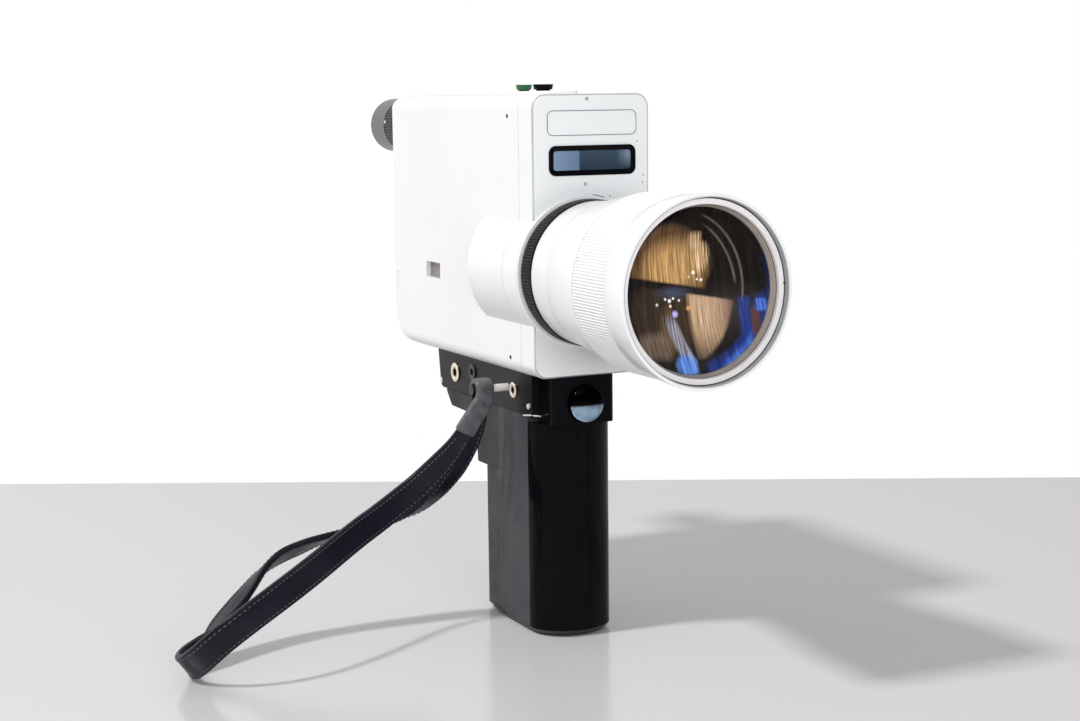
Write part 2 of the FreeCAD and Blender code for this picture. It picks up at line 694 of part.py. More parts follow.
def hinge_knuckles():
    """Two knuckles on the casing's rear edge, each with a pin up and down into the door."""
    hx, hy = hinge_axis()
    pieces = []
    for z in HINGE_ZS:
        half = HINGE_KNUCKLE_L / 2
        barrel = rod(DOOR_BARREL_R, (hx, hy, z - half), HINGE_KNUCKLE_L, UP)
        arm = block(hx, CASING_X, hy - DOOR_BARREL_R / 2, hy + DOOR_BARREL_R / 2, z - half, z + half)
        pin = rod(HINGE_PIN_R, (hx, hy, z - half - HINGE_PIN_L), HINGE_KNUCKLE_L + 2 * HINGE_PIN_L, UP)
        pieces.append(join(barrel, arm, pin))
    return Part.makeCompound(pieces)


# Lens
ZOOM_REAR = FACE_Y - COLLAR_L - SEAM
ZOOM_KNURL = ZOOM_REAR - ZOOM_RING_GROOVE_L
ZOOM_FRONT = ZOOM_KNURL - ZOOM_RING_KNURL_L
BARREL_REAR = ZOOM_FRONT - SEAM
BARREL_FRONT = BARREL_REAR - BARREL_L + SEAM
FOCUS_REAR = BARREL_FRONT - SEAM
RIB_FRONT = FOCUS_REAR - RIB_BAND_L + SEAM
RIM_Y = RIB_FRONT - FRONT_RING_L
THREAD_END = RIM_Y + THREAD_L
RETAINER_FRONT = THREAD_END
RETAINER_REAR = RETAINER_FRONT + RETAINER_L
GLASS_FRONT = RETAINER_FRONT + RETAINER_LIP
GLASS_REAR = GLASS_FRONT + FRONT_GLASS_EDGE
TUBE_REAR = FACE_Y + TUBE_REAR_DEPTH
TUBE_FRONT = FOCUS_REAR - FOCUS_WEB_T - 1.5


def lens_tube():
    """Fixed inner tube that carries the rings and the glass."""
    flange_y = FACE_Y + FRONT_WALL
    tube = ring(TUBE_R, TUBE_R - TUBE_WALL, (0, TUBE_FRONT, LENS_Z), TUBE_REAR - TUBE_FRONT, BACKWARD)
    flange = ring(TUBE_FLANGE_R, TUBE_R - TUBE_WALL, (0, flange_y, LENS_Z), TUBE_FLANGE_T, BACKWARD)
    rear = ring(TUBE_R, REAR_GLASS_R, (0, TUBE_REAR - REAR_CELL_L, LENS_Z), REAR_CELL_L, BACKWARD)
    return join(tube, flange, rear)


def zoom_ring():
    """Knurled ring with its cam sleeve under the barrel."""
    inner = TUBE_R + RUNNING_FIT
    groove = ring(ZOOM_RING_GROOVE_R, inner, (0, ZOOM_KNURL, LENS_Z), ZOOM_RING_GROOVE_L, BACKWARD)
    knurl = toothed(
        ZOOM_RING_TEETH, ZOOM_RING_R, ZOOM_RING_R - ZOOM_RING_TOOTH, 0.35, 0.75,
        lambda u, v: Vector(u, ZOOM_FRONT, LENS_Z + v), Vector(0, ZOOM_RING_KNURL_L, 0),
    )
    knurl = knurl.cut(lens_rod(inner, ZOOM_FRONT - 1, ZOOM_KNURL + 1))
    sleeve = ring(inner + SLEEVE_T, inner, (0, ZOOM_FRONT - SLEEVE_L, LENS_Z), SLEEVE_L + 1, BACKWARD)
    return join(groove, knurl, sleeve)


def lens_barrel():
    step_y = BARREL_REAR - BARREL_STEP_AT
    inner = TUBE_R + RUNNING_FIT + SLEEVE_T + RUN_GAP
    sleeve_end = ZOOM_FRONT - SLEEVE_L - RUN_GAP
    web_end = sleeve_end - BARREL_WEB_T
    profile = (
        (BARREL_REAR, inner), (BARREL_REAR, BARREL_REAR_R), (step_y, BARREL_STEP_R - 0.15),
        (step_y, BARREL_STEP_R), (BARREL_FRONT, BARREL_FRONT_R),
        (BARREL_FRONT, BARREL_FRONT_R - BARREL_WALL), (web_end, BARREL_FRONT_R - BARREL_WALL - 1.5),
        (web_end, TUBE_R), (sleeve_end, TUBE_R), (sleeve_end, inner),
    )
    return turned(profile, 0, LENS_Z)


def focus_ring():
    """Ribbed grip and front ring, with the filter thread and the seat of the front glass."""
    inner = TUBE_R + RUNNING_FIT
    web_end = FOCUS_REAR - FOCUS_WEB_T
    bore = BARREL_FRONT_R - BARREL_WALL - 1.0
    seat_y = GLASS_REAR + FOCUS_SEAT_T
    profile = (
        (RIB_FRONT, FRONT_GLASS_R - FOCUS_SEAT_W), (RIB_FRONT, BARREL_FRONT_R), (RIM_Y, RIM_R),
        (RIM_Y, THREAD_R), (THREAD_END, THREAD_R), (THREAD_END, RETAINER_R),
        (RETAINER_REAR, RETAINER_R), (RETAINER_REAR, FRONT_GLASS_R), (GLASS_REAR, FRONT_GLASS_R),
        (GLASS_REAR, FRONT_GLASS_R - FOCUS_SEAT_EDGE_W), (seat_y, FRONT_GLASS_R - FOCUS_SEAT_W),
    )
    front = turned(profile, 0, LENS_Z)
    band = toothed(
        RIB_COUNT, BARREL_FRONT_R, BARREL_FRONT_R - RIB_DEPTH, 0.45, 0.8,
        lambda u, v: Vector(u, RIB_FRONT, LENS_Z + v), Vector(0, FOCUS_REAR - RIB_FRONT, 0),
    )
    band = band.cut(lens_rod(bore, RIB_FRONT - 1, web_end))
    band = band.cut(lens_rod(inner, RIB_FRONT - 1, FOCUS_REAR + 1))
    focus = join(front, band)
    return focus.cut(set_screw_pieces(0.0))


def set_screw_pieces(sink):
    """Tiny screws round the focus ring: one in the rear of the rib band, one in the front ring."""
    screws = []
    for angle, depth in zip(SET_SCREW_ANGLES, SET_SCREW_SINK):
        y = FOCUS_REAR - depth if depth < SET_SCREW_SINK[1] else RIM_Y + depth
        way = Vector(math.cos(math.radians(angle)), 0, math.sin(math.radians(angle)))
        foot = way * (BARREL_FRONT_R - RIB_DEPTH - SET_SCREW_L) + Vector(0, y, LENS_Z)
        screws.append(Part.makeCylinder(SET_SCREW_R, SET_SCREW_L + 2.0 - sink, foot, way))
    return Part.makeCompound(screws)


def focus_screws():
    return set_screw_pieces(2.0)


def front_retainer():
    """Ring that holds the front glass, with a bevel towards the viewer."""
    profile = (
        (RETAINER_FRONT, RETAINER_R), (RETAINER_FRONT, RETAINER_R - 1.0),
        (GLASS_FRONT, FRONT_GLASS_R - FRONT_GLASS_BEVEL), (GLASS_FRONT, FRONT_GLASS_R),
        (RETAINER_REAR, FRONT_GLASS_R), (RETAINER_REAR, RETAINER_R),
    )
    return turned(profile, 0, LENS_Z)


def front_lens():
    """Front glass, domed forward to just behind the rim."""
    glass = lens_rod(FRONT_GLASS_R, GLASS_FRONT, GLASS_REAR)
    rim = FRONT_GLASS_R - FRONT_GLASS_BEVEL
    sag = FRONT_GLASS_CURVE_R - math.sqrt(FRONT_GLASS_CURVE_R ** 2 - rim ** 2)
    centre = Vector(0, GLASS_FRONT - sag + FRONT_GLASS_CURVE_R, LENS_Z)
    ball = Part.makeSphere(FRONT_GLASS_CURVE_R, centre)
    return join(glass, ball.common(lens_rod(rim, GLASS_FRONT - sag - 1, GLASS_FRONT + 1)))


def zoom_cell():
    y1 = FACE_Y - ZOOM_CELL_FROM_FACE
    outer = TUBE_R - TUBE_WALL - RUNNING_FIT
    return ring(outer, outer - ZOOM_CELL_WALL, (0, y1 - ZOOM_CELL_L, LENS_Z), ZOOM_CELL_L, BACKWARD)


def zoom_lens():
    y1 = FACE_Y - ZOOM_CELL_FROM_FACE - (ZOOM_CELL_L - ZOOM_GLASS_T) / 2
    radius = TUBE_R - TUBE_WALL - RUNNING_FIT - ZOOM_CELL_WALL
    return lens_rod(radius, y1 - ZOOM_GLASS_T, y1)


def iris_plate():
    y0 = FACE_Y - IRIS_T
    return ring(TUBE_R - TUBE_WALL, IRIS_HOLE_R, (0, y0, LENS_Z), IRIS_T, BACKWARD)


def rear_lens():
    y0 = TUBE_REAR - (REAR_CELL_L + REAR_GLASS_T) / 2
    return lens_rod(REAR_GLASS_R, y0, y0 + REAR_GLASS_T)


# Chassis and drive
BULK_Y = FACE_Y + BULKHEAD_FROM_FACE
SHUTTER_Z = LENS_Z - SHUTTER_DROP
PITCH_R = GEAR_MODULE * GEAR_TEETH / 2
PINION_PITCH_R = GEAR_MODULE * PINION_TEETH / 2
MOTOR_X = SHUTTER_X + PITCH_R + PINION_PITCH_R
MOTOR_REAR = BULK_Y + BULKHEAD_T + MOTOR_L
WHEEL_Y = MOTOR_REAR + WORM_GAP + WORM_L / 2
WHEEL_Z = SHUTTER_Z + WORM_R + WHEEL_R + 2 * SEAM
GEAR_Y = BULK_Y - GEAR_FROM_BULKHEAD - GEAR_T
DISC_Y = BULK_Y - SHUTTER_FROM_BULKHEAD
FRAME_BACK_X = FRAME_X + FRAME_T


def pillar_places():
    """(y, z) of the four pillars between chassis and casing."""
    inset = BODY_WALL + PILLAR_INSET
    low = BODY_BOTTOM + inset
    high = BODY_TOP - inset
    front = BULK_Y + BULKHEAD_T + PILLAR_R
    rear = REAR_Y - inset
    return ((front, low), (front, high), (rear, low + REAR_LOW_R / 2), (rear, high))


def claw_slot(y0, y1):
    """Slot for the claw's tooth, over its stroke."""
    half_w = CLAW_SLOT_W / 2
    half_h = CLAW_STROKE + CLAW_SLOT_SPARE
    return block(CLAW_X - half_w, CLAW_X + half_w, y0, y1, LENS_Z - half_h, LENS_Z + half_h)


def main_frame():
    """Chassis: a bulkhead across the body and a side plate behind the film chamber."""
    margin = BODY_WALL + FRAME_MARGIN
    side = casing_block(margin, FRAME_X, FRAME_BACK_X)
    side = side.common(around(FRAME_X - 1, FRAME_BACK_X + 1, BULK_Y, REAR_Y))
    bulk = casing_block(margin, DOOR_INNER_X + SEAL_T + 1.0, BODY_RIGHT - BODY_WALL - FRAME_MARGIN)
    bulk = bulk.common(around(BODY_LEFT, BODY_RIGHT, BULK_Y, BULK_Y + BULKHEAD_T))
    frame = join(side, bulk)
    for y, z in pillar_places():
        pillar = rod(PILLAR_R, (FRAME_X + 1, y, z), BODY_RIGHT - BODY_WALL - FRAME_X - 1, RIGHT)
        frame = join(frame, pillar)
    for y, z in pillar_places():
        hole_x = BODY_RIGHT - CASE_SCREW_HEAD_T - CASE_SCREW_L
        frame = frame.cut(rod(CASE_SCREW_R, (hole_x, y, z), CASE_SCREW_L + 1, RIGHT))
    cut_y = BULK_Y - 1
    cut_l = BULKHEAD_T + 2
    half_w, half_h = APERTURE_W / 2, APERTURE_H / 2
    frame = frame.cut(block(-half_w, half_w, cut_y, cut_y + cut_l, LENS_Z - half_h, LENS_Z + half_h))
    frame = frame.cut(claw_slot(cut_y, cut_y + cut_l))
    frame = frame.cut(rod(SHAFT_R + RUNNING_FIT, (SHUTTER_X, cut_y, SHUTTER_Z), cut_l, BACKWARD))
    pinion_hole_r = PINION_PITCH_R + GEAR_MODULE + RUN_GAP
    frame = frame.cut(rod(pinion_hole_r, (MOTOR_X, cut_y, SHUTTER_Z), cut_l, BACKWARD))
    frame = frame.cut(rod(FINDER_R, (EYE_X, cut_y, EYE_Z), cut_l, BACKWARD))
    tail_reach = GREEN_R * TOP_BUTTON_NECK + 1.0 + 2 * RUN_GAP
    tail_low = BODY_TOP - BODY_WALL - TOP_BUTTON_TAIL_T - TOP_BUTTON_TRAVEL - 2 * RUN_GAP
    frame = frame.cut(rod(tail_reach, (TOP_BUTTON_X, body_y(GREEN_Y), tail_low), BODY_HEIGHT, UP))
    return frame.cut(rod(SPINDLE_R + RUNNING_FIT, (FRAME_X - 1, WHEEL_Y, WHEEL_Z), FRAME_T + 2, RIGHT))


def case_screws():
    """The casing's screws, the two tiny ones in the front face and the rivets of the black box."""
    screws = []
    for y, z in pillar_places():
        head = rod(CASE_SCREW_HEAD_R, (BODY_RIGHT - CASE_SCREW_HEAD_T, y, z), CASE_SCREW_HEAD_T - 0.2, RIGHT)
        shank = rod(CASE_SCREW_R, (BODY_RIGHT - CASE_SCREW_HEAD_T - CASE_SCREW_L, y, z), CASE_SCREW_L, RIGHT)
        slot_x, reach, half = BODY_RIGHT - CASE_SCREW_SLOT_T, CASE_SCREW_HEAD_R, CASE_SCREW_SLOT_W / 2
        slot = block(slot_x, BODY_RIGHT, y - reach, y + reach, z - half, z + half)
        screws.append(join(head, shank).cut(slot))
    for x, drop in FRONT_SCREWS:
        screws.append(rod(FRONT_SCREW_R, (x, FACE_Y + 0.1, BODY_TOP - drop), FRONT_SCREW_L - 0.1, BACKWARD))
    for depth, drop in RIVETS:
        start = (-BOX_HALF_W - RIVET_PROUD, body_y(depth), box_z(drop))
        screws.append(rod(RIVET_R, start, BOX_WALL + RIVET_PROUD, RIGHT))
    return Part.makeCompound(screws)


def film_gate():
    y0 = BULK_Y + BULKHEAD_T
    plate = block(-GATE_W / 2, GATE_W / 2, y0, y0 + GATE_T, LENS_Z - GATE_H / 2, LENS_Z + GATE_H / 2)
    half_w, half_h = APERTURE_W / 2, APERTURE_H / 2
    plate = plate.cut(block(-half_w, half_w, y0 - 1, y0 + GATE_T + 1, LENS_Z - half_h, LENS_Z + half_h))
    return plate.cut(claw_slot(y0 - 1, y0 + GATE_T + 1))


def film_claw():
    """Arm that pulls the film down by one frame, with its tooth through the gate."""
    y1 = BULK_Y - SEAM
    x0, x1 = CLAW_X - CLAW_ARM_HALF_W, CLAW_X + CLAW_ARM_HALF_W
    arm = block(x0, x1, y1 - CLAW_ARM_T, y1, LENS_Z - CLAW_ARM_L / 2, LENS_Z + CLAW_ARM_L / 2)
    half_w = CLAW_SLOT_W / 2 - RUN_GAP
    tip_y = BULK_Y + BULKHEAD_T + GATE_T + CLAW_TOOTH_OUT
    low, high = LENS_Z - CLAW_TOOTH_HALF_H, LENS_Z + CLAW_TOOTH_HALF_H
    return join(arm, block(CLAW_X - half_w, CLAW_X + half_w, y1 - 0.5, tip_y, low, high))


def shutter_disc():
    """Disc with an open sector, on its shaft."""
    disc = rod(SHUTTER_R, (SHUTTER_X, DISC_Y, SHUTTER_Z), SHUTTER_T, BACKWARD)
    edge = math.radians(SHUTTER_OPENING)
    sector = [Vector(SHUTTER_X, DISC_Y - 1, SHUTTER_Z)]
    for angle, reach in ((0.0, 2 * SHUTTER_R), (edge / 2, 3 * SHUTTER_R), (edge, 2 * SHUTTER_R)):
        x, z = SHUTTER_X + reach * math.cos(angle), SHUTTER_Z - reach * math.sin(angle)
        sector.append(Vector(x, DISC_Y - 1, z))
    wedge = Part.Face(Part.makePolygon(sector + [sector[0]])).extrude(Vector(0, SHUTTER_T + 2, 0))
    disc = disc.cut(wedge)
    hub = rod(3 * SHAFT_R, (SHUTTER_X, DISC_Y - 1.0, SHUTTER_Z), GEAR_Y - DISC_Y + 1.0, BACKWARD)
    shaft = rod(SHAFT_R, (SHUTTER_X, DISC_Y - 1.0, SHUTTER_Z), BULK_Y + BULKHEAD_T - DISC_Y + 1.0, BACKWARD)
    return join(disc, hub, shaft)


def spur_gear(teeth, x, y, phase, bore):
    pitch_r = GEAR_MODULE * teeth / 2
    width = GEAR_BACKLASH / (math.pi * GEAR_MODULE)
    wheel = toothed(
        teeth, pitch_r + 0.8 * GEAR_MODULE, pitch_r - 1.2 * GEAR_MODULE, 0.2 - width, 0.62 - width,
        lambda u, v: Vector(x + u, y, SHUTTER_Z + v), Vector(0, GEAR_T, 0), phase,
    )
    return wheel.cut(rod(bore, (x, y - 1, SHUTTER_Z), GEAR_T + 2, BACKWARD))


def drive_gear():
    return spur_gear(GEAR_TEETH, SHUTTER_X, GEAR_Y, 0.0, SHAFT_R)


def motor_pinion():
    """Pinion in front of the motor and worm behind it, on one shaft through the motor."""
    phase = math.pi + math.pi / PINION_TEETH
    pinion = spur_gear(PINION_TEETH, MOTOR_X, GEAR_Y, phase, MOTOR_SHAFT_R)
    shaft_l = WHEEL_Y + WORM_L / 2 - GEAR_Y
    shaft = rod(MOTOR_SHAFT_R, (MOTOR_X, GEAR_Y, SHUTTER_Z), shaft_l, BACKWARD)
    worm = rod(WORM_R, (MOTOR_X, WHEEL_Y - WORM_L / 2, SHUTTER_Z), WORM_L, BACKWARD)
    return join(pinion, shaft, worm)


def drive_motor():
    y0 = BULK_Y + BULKHEAD_T
    can = rod(MOTOR_R, (MOTOR_X, y0, SHUTTER_Z), MOTOR_L, BACKWARD)
    return can.cut(rod(MOTOR_SHAFT_R + RUNNING_FIT, (MOTOR_X, y0 - 1, SHUTTER_Z), MOTOR_L + 2, BACKWARD))


def takeup_spindle():
    """Spindle that winds the film in the cartridge, with its worm wheel behind the chassis."""
    x0 = FRAME_X - SPINDLE_REACH
    wheel_x = MOTOR_X - WHEEL_T / 2
    shaft = rod(SPINDLE_R, (x0, WHEEL_Y, WHEEL_Z), wheel_x + WHEEL_T - x0, RIGHT)
    wheel = toothed(
        WHEEL_TEETH, WHEEL_R, WHEEL_R - 1.0, 0.3, 0.7,
        lambda u, v: Vector(wheel_x, WHEEL_Y + u, WHEEL_Z + v), Vector(WHEEL_T, 0, 0),
    )
    head = rod(SPINDLE_HEAD_R, (x0, WHEEL_Y, WHEEL_Z), SPINDLE_HEAD_L, RIGHT)
    for turn in range(3):
        angle = 2 * math.pi * turn / 3
        y, z = WHEEL_Y + SPINDLE_HEAD_R * math.cos(angle), WHEEL_Z + SPINDLE_HEAD_R * math.sin(angle)
        head = head.cut(rod(SPINDLE_NOTCH_R, (x0 - 1, y, z), SPINDLE_HEAD_L + 2, RIGHT))
    return join(shaft, wheel, head)


def circuit_board():
    """Board on four standoffs, with a few components."""
    x0 = FRAME_BACK_X + BOARD_STANDOFF
    y1 = REAR_Y - BODY_WALL - BOARD_FROM_REAR
    y0 = y1 - BOARD_L
    z0 = BODY_BOTTOM + REAR_LOW_R + BOARD_ABOVE_CORNER
    z1 = z0 + BOARD_H
    board = block(x0, x0 + BOARD_T, y0, y1, z0, z1)
    for y in (y0 + BOARD_HOLE_INSET, y1 - BOARD_HOLE_INSET):
        for z in (z0 + BOARD_HOLE_INSET, z1 - BOARD_HOLE_INSET):
            board = join(board, rod(STANDOFF_R, (FRAME_BACK_X, y, z), BOARD_STANDOFF, RIGHT))
    part_x = x0 + BOARD_T
    part_y = y0 + BOARD_PART_MARGIN
    for i in range(BOARD_PARTS):
        part_z = z0 + BOARD_PART_MARGIN + i * BOARD_PART_PITCH
        part_end = part_y + BOARD_PART_L
        part = block(part_x, part_x + BOARD_PART_T, part_y, part_end, part_z, part_z + BOARD_PART_H)
        board = join(board, part)
    return board


# Finder and eyepiece
def finder_tube():
    y0 = body_y(FINDER_FRONT)
    y1 = REAR_Y - BODY_WALL
    return ring(FINDER_R, FINDER_R - FINDER_WALL, (EYE_X, y0, EYE_Z), y1 - y0, BACKWARD)


def finder_prism():
    """Glass block that brings the lens's picture up to the finder."""
    y1 = body_y(FINDER_FRONT)
    half = PRISM_W / 2
    return block(EYE_X - half, EYE_X + half, y1 - PRISM_L, y1, LENS_Z + TUBE_R + 0.5, EYE_Z + FINDER_R)


def eyepiece_tube():
    y0 = REAR_Y - BODY_WALL
    length = BODY_WALL + EYE_FLANGE_L + SEAM + DIOPTRE_L + SEAM + EYECUP_L - EYECUP_HOLLOW_L
    tube = ring(EYE_TUBE_R, EYE_BORE_R, (EYE_X, y0, EYE_Z), length, BACKWARD)
    flange = ring(EYE_R, EYE_BORE_R, (EYE_X, REAR_Y + SEAM, EYE_Z), EYE_FLANGE_L - SEAM, BACKWARD)
    return join(tube, flange)


def dioptre_ring():
    y0 = REAR_Y + EYE_FLANGE_L + SEAM
    wheel = toothed(
        60, EYE_R, EYE_R - 0.3, 0.4, 0.8,
        lambda u, v: Vector(EYE_X + u, y0, EYE_Z + v), Vector(0, DIOPTRE_L, 0),
    )
    return wheel.cut(rod(EYE_TUBE_R + RUNNING_FIT, (EYE_X, y0 - 1, EYE_Z), DIOPTRE_L + 2, BACKWARD))


def eyecup():
    y0 = REAR_Y + EYE_FLANGE_L + DIOPTRE_L + 2 * SEAM
    hollow = y0 + EYECUP_L - EYECUP_HOLLOW_L
    profile = (
        (y0, EYE_TUBE_R), (y0, EYE_R), (y0 + EYECUP_L - 1.0, EYE_R), (y0 + EYECUP_L, EYE_R - 0.6),
        (y0 + EYECUP_L, EYE_R - EYECUP_LIP), (hollow, EYE_TUBE_R + 0.3), (hollow, EYE_TUBE_R),
    )
    return turned(profile, EYE_X, EYE_Z)


def eye_lens():
    y1 = REAR_Y + EYE_FLANGE_L + DIOPTRE_L + 2 * SEAM + EYECUP_L - EYECUP_HOLLOW_L
    return rod(EYE_BORE_R, (EYE_X, y1 - EYE_LENS_T, EYE_Z), EYE_LENS_T, BACKWARD)


# Top buttons and side controls
def top_button(y, radius, cap):
    """Button with a slightly tapered cap on a narrower neck, and a collar under the casing's top."""
    neck = radius * TOP_BUTTON_NECK
    z0 = BODY_TOP + TOP_BUTTON_LIFT
    tail_z = BODY_TOP - BODY_WALL - TOP_BUTTON_TAIL_T - 0.05
    shaft = rod(neck, (TOP_BUTTON_X, body_y(y), tail_z), z0 - tail_z, UP)
    top = Part.makeCone(radius - TOP_BUTTON_TAPER, radius, cap, Vector(TOP_BUTTON_X, body_y(y), z0), UP)
    collar = rod(neck + 1.0, (TOP_BUTTON_X, body_y(y), tail_z), TOP_BUTTON_TAIL_T, UP)
    return join(shaft, top, collar)


def dial(depth, radius):
    """Fluted knob on a short shaft through the casing's side."""
    x0 = BODY_RIGHT + RUN_GAP
    y, z = body_y(depth), BODY_TOP - DIAL_DROP
    knob = toothed(
        DIAL_FLUTES, radius, radius - DIAL_FLUTE_DEPTH, 0.45, 0.75,
        lambda u, v: Vector(x0, y + u, z + v), Vector(DIAL_T, 0, 0),
    )
    pointer = block(x0 + DIAL_T - 0.4, x0 + DIAL_T + 1, y - 0.5, y + 0.5, z + 1.0, z + radius)
    shaft_x = BODY_RIGHT - BODY_WALL - 0.5
    shaft = rod(DIAL_SHAFT_R, (shaft_x, y, z), x0 - shaft_x + 0.5, RIGHT)
    keeper = rod(DIAL_SHAFT_R + 1.2, (shaft_x - 1.0, y, z), 1.0, RIGHT)
    return join(knob.cut(pointer), shaft, keeper)


# Black box, sockets, strap pin
def box_z(drop):
    """Z of a place measured down from the body's bottom."""
    return BODY_BOTTOM - drop


def sockets():
    """(depth, drop, rim radius, bore radius) of the three sockets on the -X side."""
    return (
        (JACK_REAR_Y, JACK_REAR_DROP, JACK_REAR_R, JACK_REAR_BORE),
        (JACK_FRONT_Y, JACK_FRONT_DROP, JACK_FRONT_R, JACK_FRONT_BORE),
        (RELEASE_Y, RELEASE_DROP, RELEASE_R, RELEASE_BORE),
    )


def underbody_box():
    y0, y1 = body_y(BOX_FRONT), body_y(BOX_REAR)
    z0 = box_z(BOX_H)
    foot_y = y1 - BOX_REAR_SLOPE
    corners = ((y0, z0, 1.0), (foot_y, z0, BOX_CORNER_R), (y1, BODY_BOTTOM, 0), (y0, BODY_BOTTOM, 0))
    box = prism(corners, lambda u, v: Vector(-BOX_HALF_W, u, v), Vector(2 * BOX_HALF_W, 0, 0))
    hollow_half = BOX_HALF_W - BOX_WALL
    low, high = z0 + BOX_WALL, BODY_BOTTOM - BOX_WALL
    box = box.cut(block(-hollow_half, hollow_half, y0 + BOX_WALL, foot_y - BOX_WALL, low, high))
    holes = [(depth, drop, bore_r + SOCKET_WALL) for depth, drop, rim_r, bore_r in sockets()]
    holes.append((STRAP_PIN_Y, STRAP_PIN_DROP, STRAP_PIN_R))
    holes += [(depth, drop, RIVET_R) for depth, drop in RIVETS]
    for depth, drop, radius in holes:
        box = box.cut(rod(radius, (-BOX_HALF_W - 1, body_y(depth), box_z(drop)), BOX_WALL + 1, RIGHT))
    stem_r = RELEASE_STEM_R + RUN_GAP
    return box.cut(rod(stem_r, (0, y0 - 1, box_z(RELEASE_BUTTON_DROP)), BOX_WALL + 2, BACKWARD))


def socket_piece(depth, drop, rim_r, bore_r):
    y, z = body_y(depth), box_z(drop)
    x0 = -BOX_HALF_W - SOCKET_RIM_T
    rim = rod(rim_r, (x0, y, z), SOCKET_RIM_T, RIGHT)
    barrel = rod(bore_r + SOCKET_WALL, (x0, y, z), SOCKET_RIM_T + SOCKET_L, RIGHT)
    bore = rod(bore_r, (x0 - 1, y, z), 1 + SOCKET_RIM_T + SOCKET_L - SOCKET_BACK, RIGHT)
    return join(rim, barrel).cut(bore)


def strap_pin():
    """Pin that carries the strap, with a head that keeps it on."""
    y, z = body_y(STRAP_PIN_Y), box_z(STRAP_PIN_DROP)
    pin = rod(STRAP_PIN_R, (-BOX_HALF_W - STRAP_PIN_OUT, y, z), STRAP_PIN_OUT + STRAP_PIN_IN, RIGHT)
    head = rod(STRAP_PIN_HEAD_R, (-BOX_HALF_W - STRAP_PIN_OUT, y, z), STRAP_PIN_HEAD_T, RIGHT)
    foot = rod(STRAP_PIN_HEAD_R, (-BOX_HALF_W + BOX_WALL, y, z), STRAP_PIN_HEAD_T, RIGHT)
    return join(pin, head, foot)


def front_block():
    y0, y1 = FACE_Y, body_y(BOX_FRONT)
    corners = (
        (-BLOCK_HALF_W, y0, BLOCK_EDGE_R), (BLOCK_HALF_W, y0, BLOCK_EDGE_R),
        (BLOCK_HALF_W, y1, 0), (-BLOCK_HALF_W, y1, 0),
    )
    shape = prism(corners, lambda u, v: Vector(u, v, box_z(BLOCK_H)), Vector(0, 0, BLOCK_H))
    z = box_z(RELEASE_BUTTON_DROP)
    pocket_l = RELEASE_BUTTON_L - RELEASE_BUTTON_OUT + RELEASE_TRAVEL + 0.5
    shape = shape.cut(rod(RELEASE_BUTTON_R + RUN_GAP, (0, y0 - 1, z), pocket_l + 1, BACKWARD))
    return shape.cut(rod(RELEASE_STEM_R + RUN_GAP, (0, y0, z), y1 - y0 + 1, BACKWARD))


def release_button():
    """Round domed release button with its stem to the switch."""
    z = box_z(RELEASE_BUTTON_DROP)
    y0 = FACE_Y - RELEASE_BUTTON_OUT
    button = rod(RELEASE_BUTTON_R, (0, y0, z), RELEASE_BUTTON_L, BACKWARD)
    button = button.common(Part.makeSphere(RELEASE_DOME_R, Vector(0, y0 + RELEASE_DOME_R, z)))
    rim_y = y0 + RELEASE_DOME_R - math.sqrt(RELEASE_DOME_R ** 2 - RELEASE_BUTTON_R ** 2)
    button = button.makeFillet(RELEASE_EDGE_R, edges_in_plane(button, "y", rim_y))
    back = y0 + RELEASE_BUTTON_L
    well = ring(SPRING_OUT_R + RUN_GAP, RELEASE_STEM_R, (0, back - SPRING_L - 0.5, z), SPRING_L + 1, BACKWARD)
    stem = rod(RELEASE_STEM_R, (0, back - 1, z), RELEASE_STEM_L + 1, BACKWARD)
    return join(button.cut(well), stem)


def release_spring():
    """Return spring of the release button, a plain sleeve of its pressed length."""
    z = box_z(RELEASE_BUTTON_DROP)
    pocket_end = FACE_Y + RELEASE_BUTTON_L - RELEASE_BUTTON_OUT + RELEASE_TRAVEL + 0.5
    return ring(SPRING_OUT_R, SPRING_IN_R, (0, pocket_end - SPRING_L, z), SPRING_L, BACKWARD)


def release_switch():
    """Switch on the floor of the black box, behind the button's stem."""
    stem_end = FACE_Y - RELEASE_BUTTON_OUT + RELEASE_BUTTON_L + RELEASE_STEM_L
    y0 = stem_end + RELEASE_TRAVEL + 0.4
    z0 = box_z(BOX_H) + BOX_WALL
    return block(-SWITCH_W / 2, SWITCH_W / 2, y0, y0 + SWITCH_L, z0, z0 + SWITCH_H)


# Grip
def grip_front_outline(inset):
    """Ellipse of the D front, with its half width and the Y of its chord."""
    half_w = GRIP_HALF_W - inset
    depth = GRIP_D_L - inset
    chord_y = -GRIP_FRONT + GRIP_D_L
    centre = Vector(0, chord_y, 0)
    if half_w >= depth:
        ellipse = Part.Ellipse(centre + Vector(half_w, 0, 0), centre + Vector(0, -depth, 0), centre)
    else:
        ellipse = Part.Ellipse(centre + Vector(0, -depth, 0), centre + Vector(half_w, 0, 0), centre)
    return ellipse, half_w, chord_y


def grip_d(inset, z0, z1):
    """Front part of the grip's section as a prism: half an ellipse."""
    ellipse, half_w, chord_y = grip_front_outline(inset)
    full = Part.Face(Part.Wire([ellipse.toShape()]))
    full.translate(Vector(0, 0, z0))
    solid = full.extrude(Vector(0, 0, z1 - z0))
    return solid.common(block(-half_w - 1, half_w + 1, chord_y - GRIP_D_L - 1, chord_y, z0 - 1, z1 + 1))


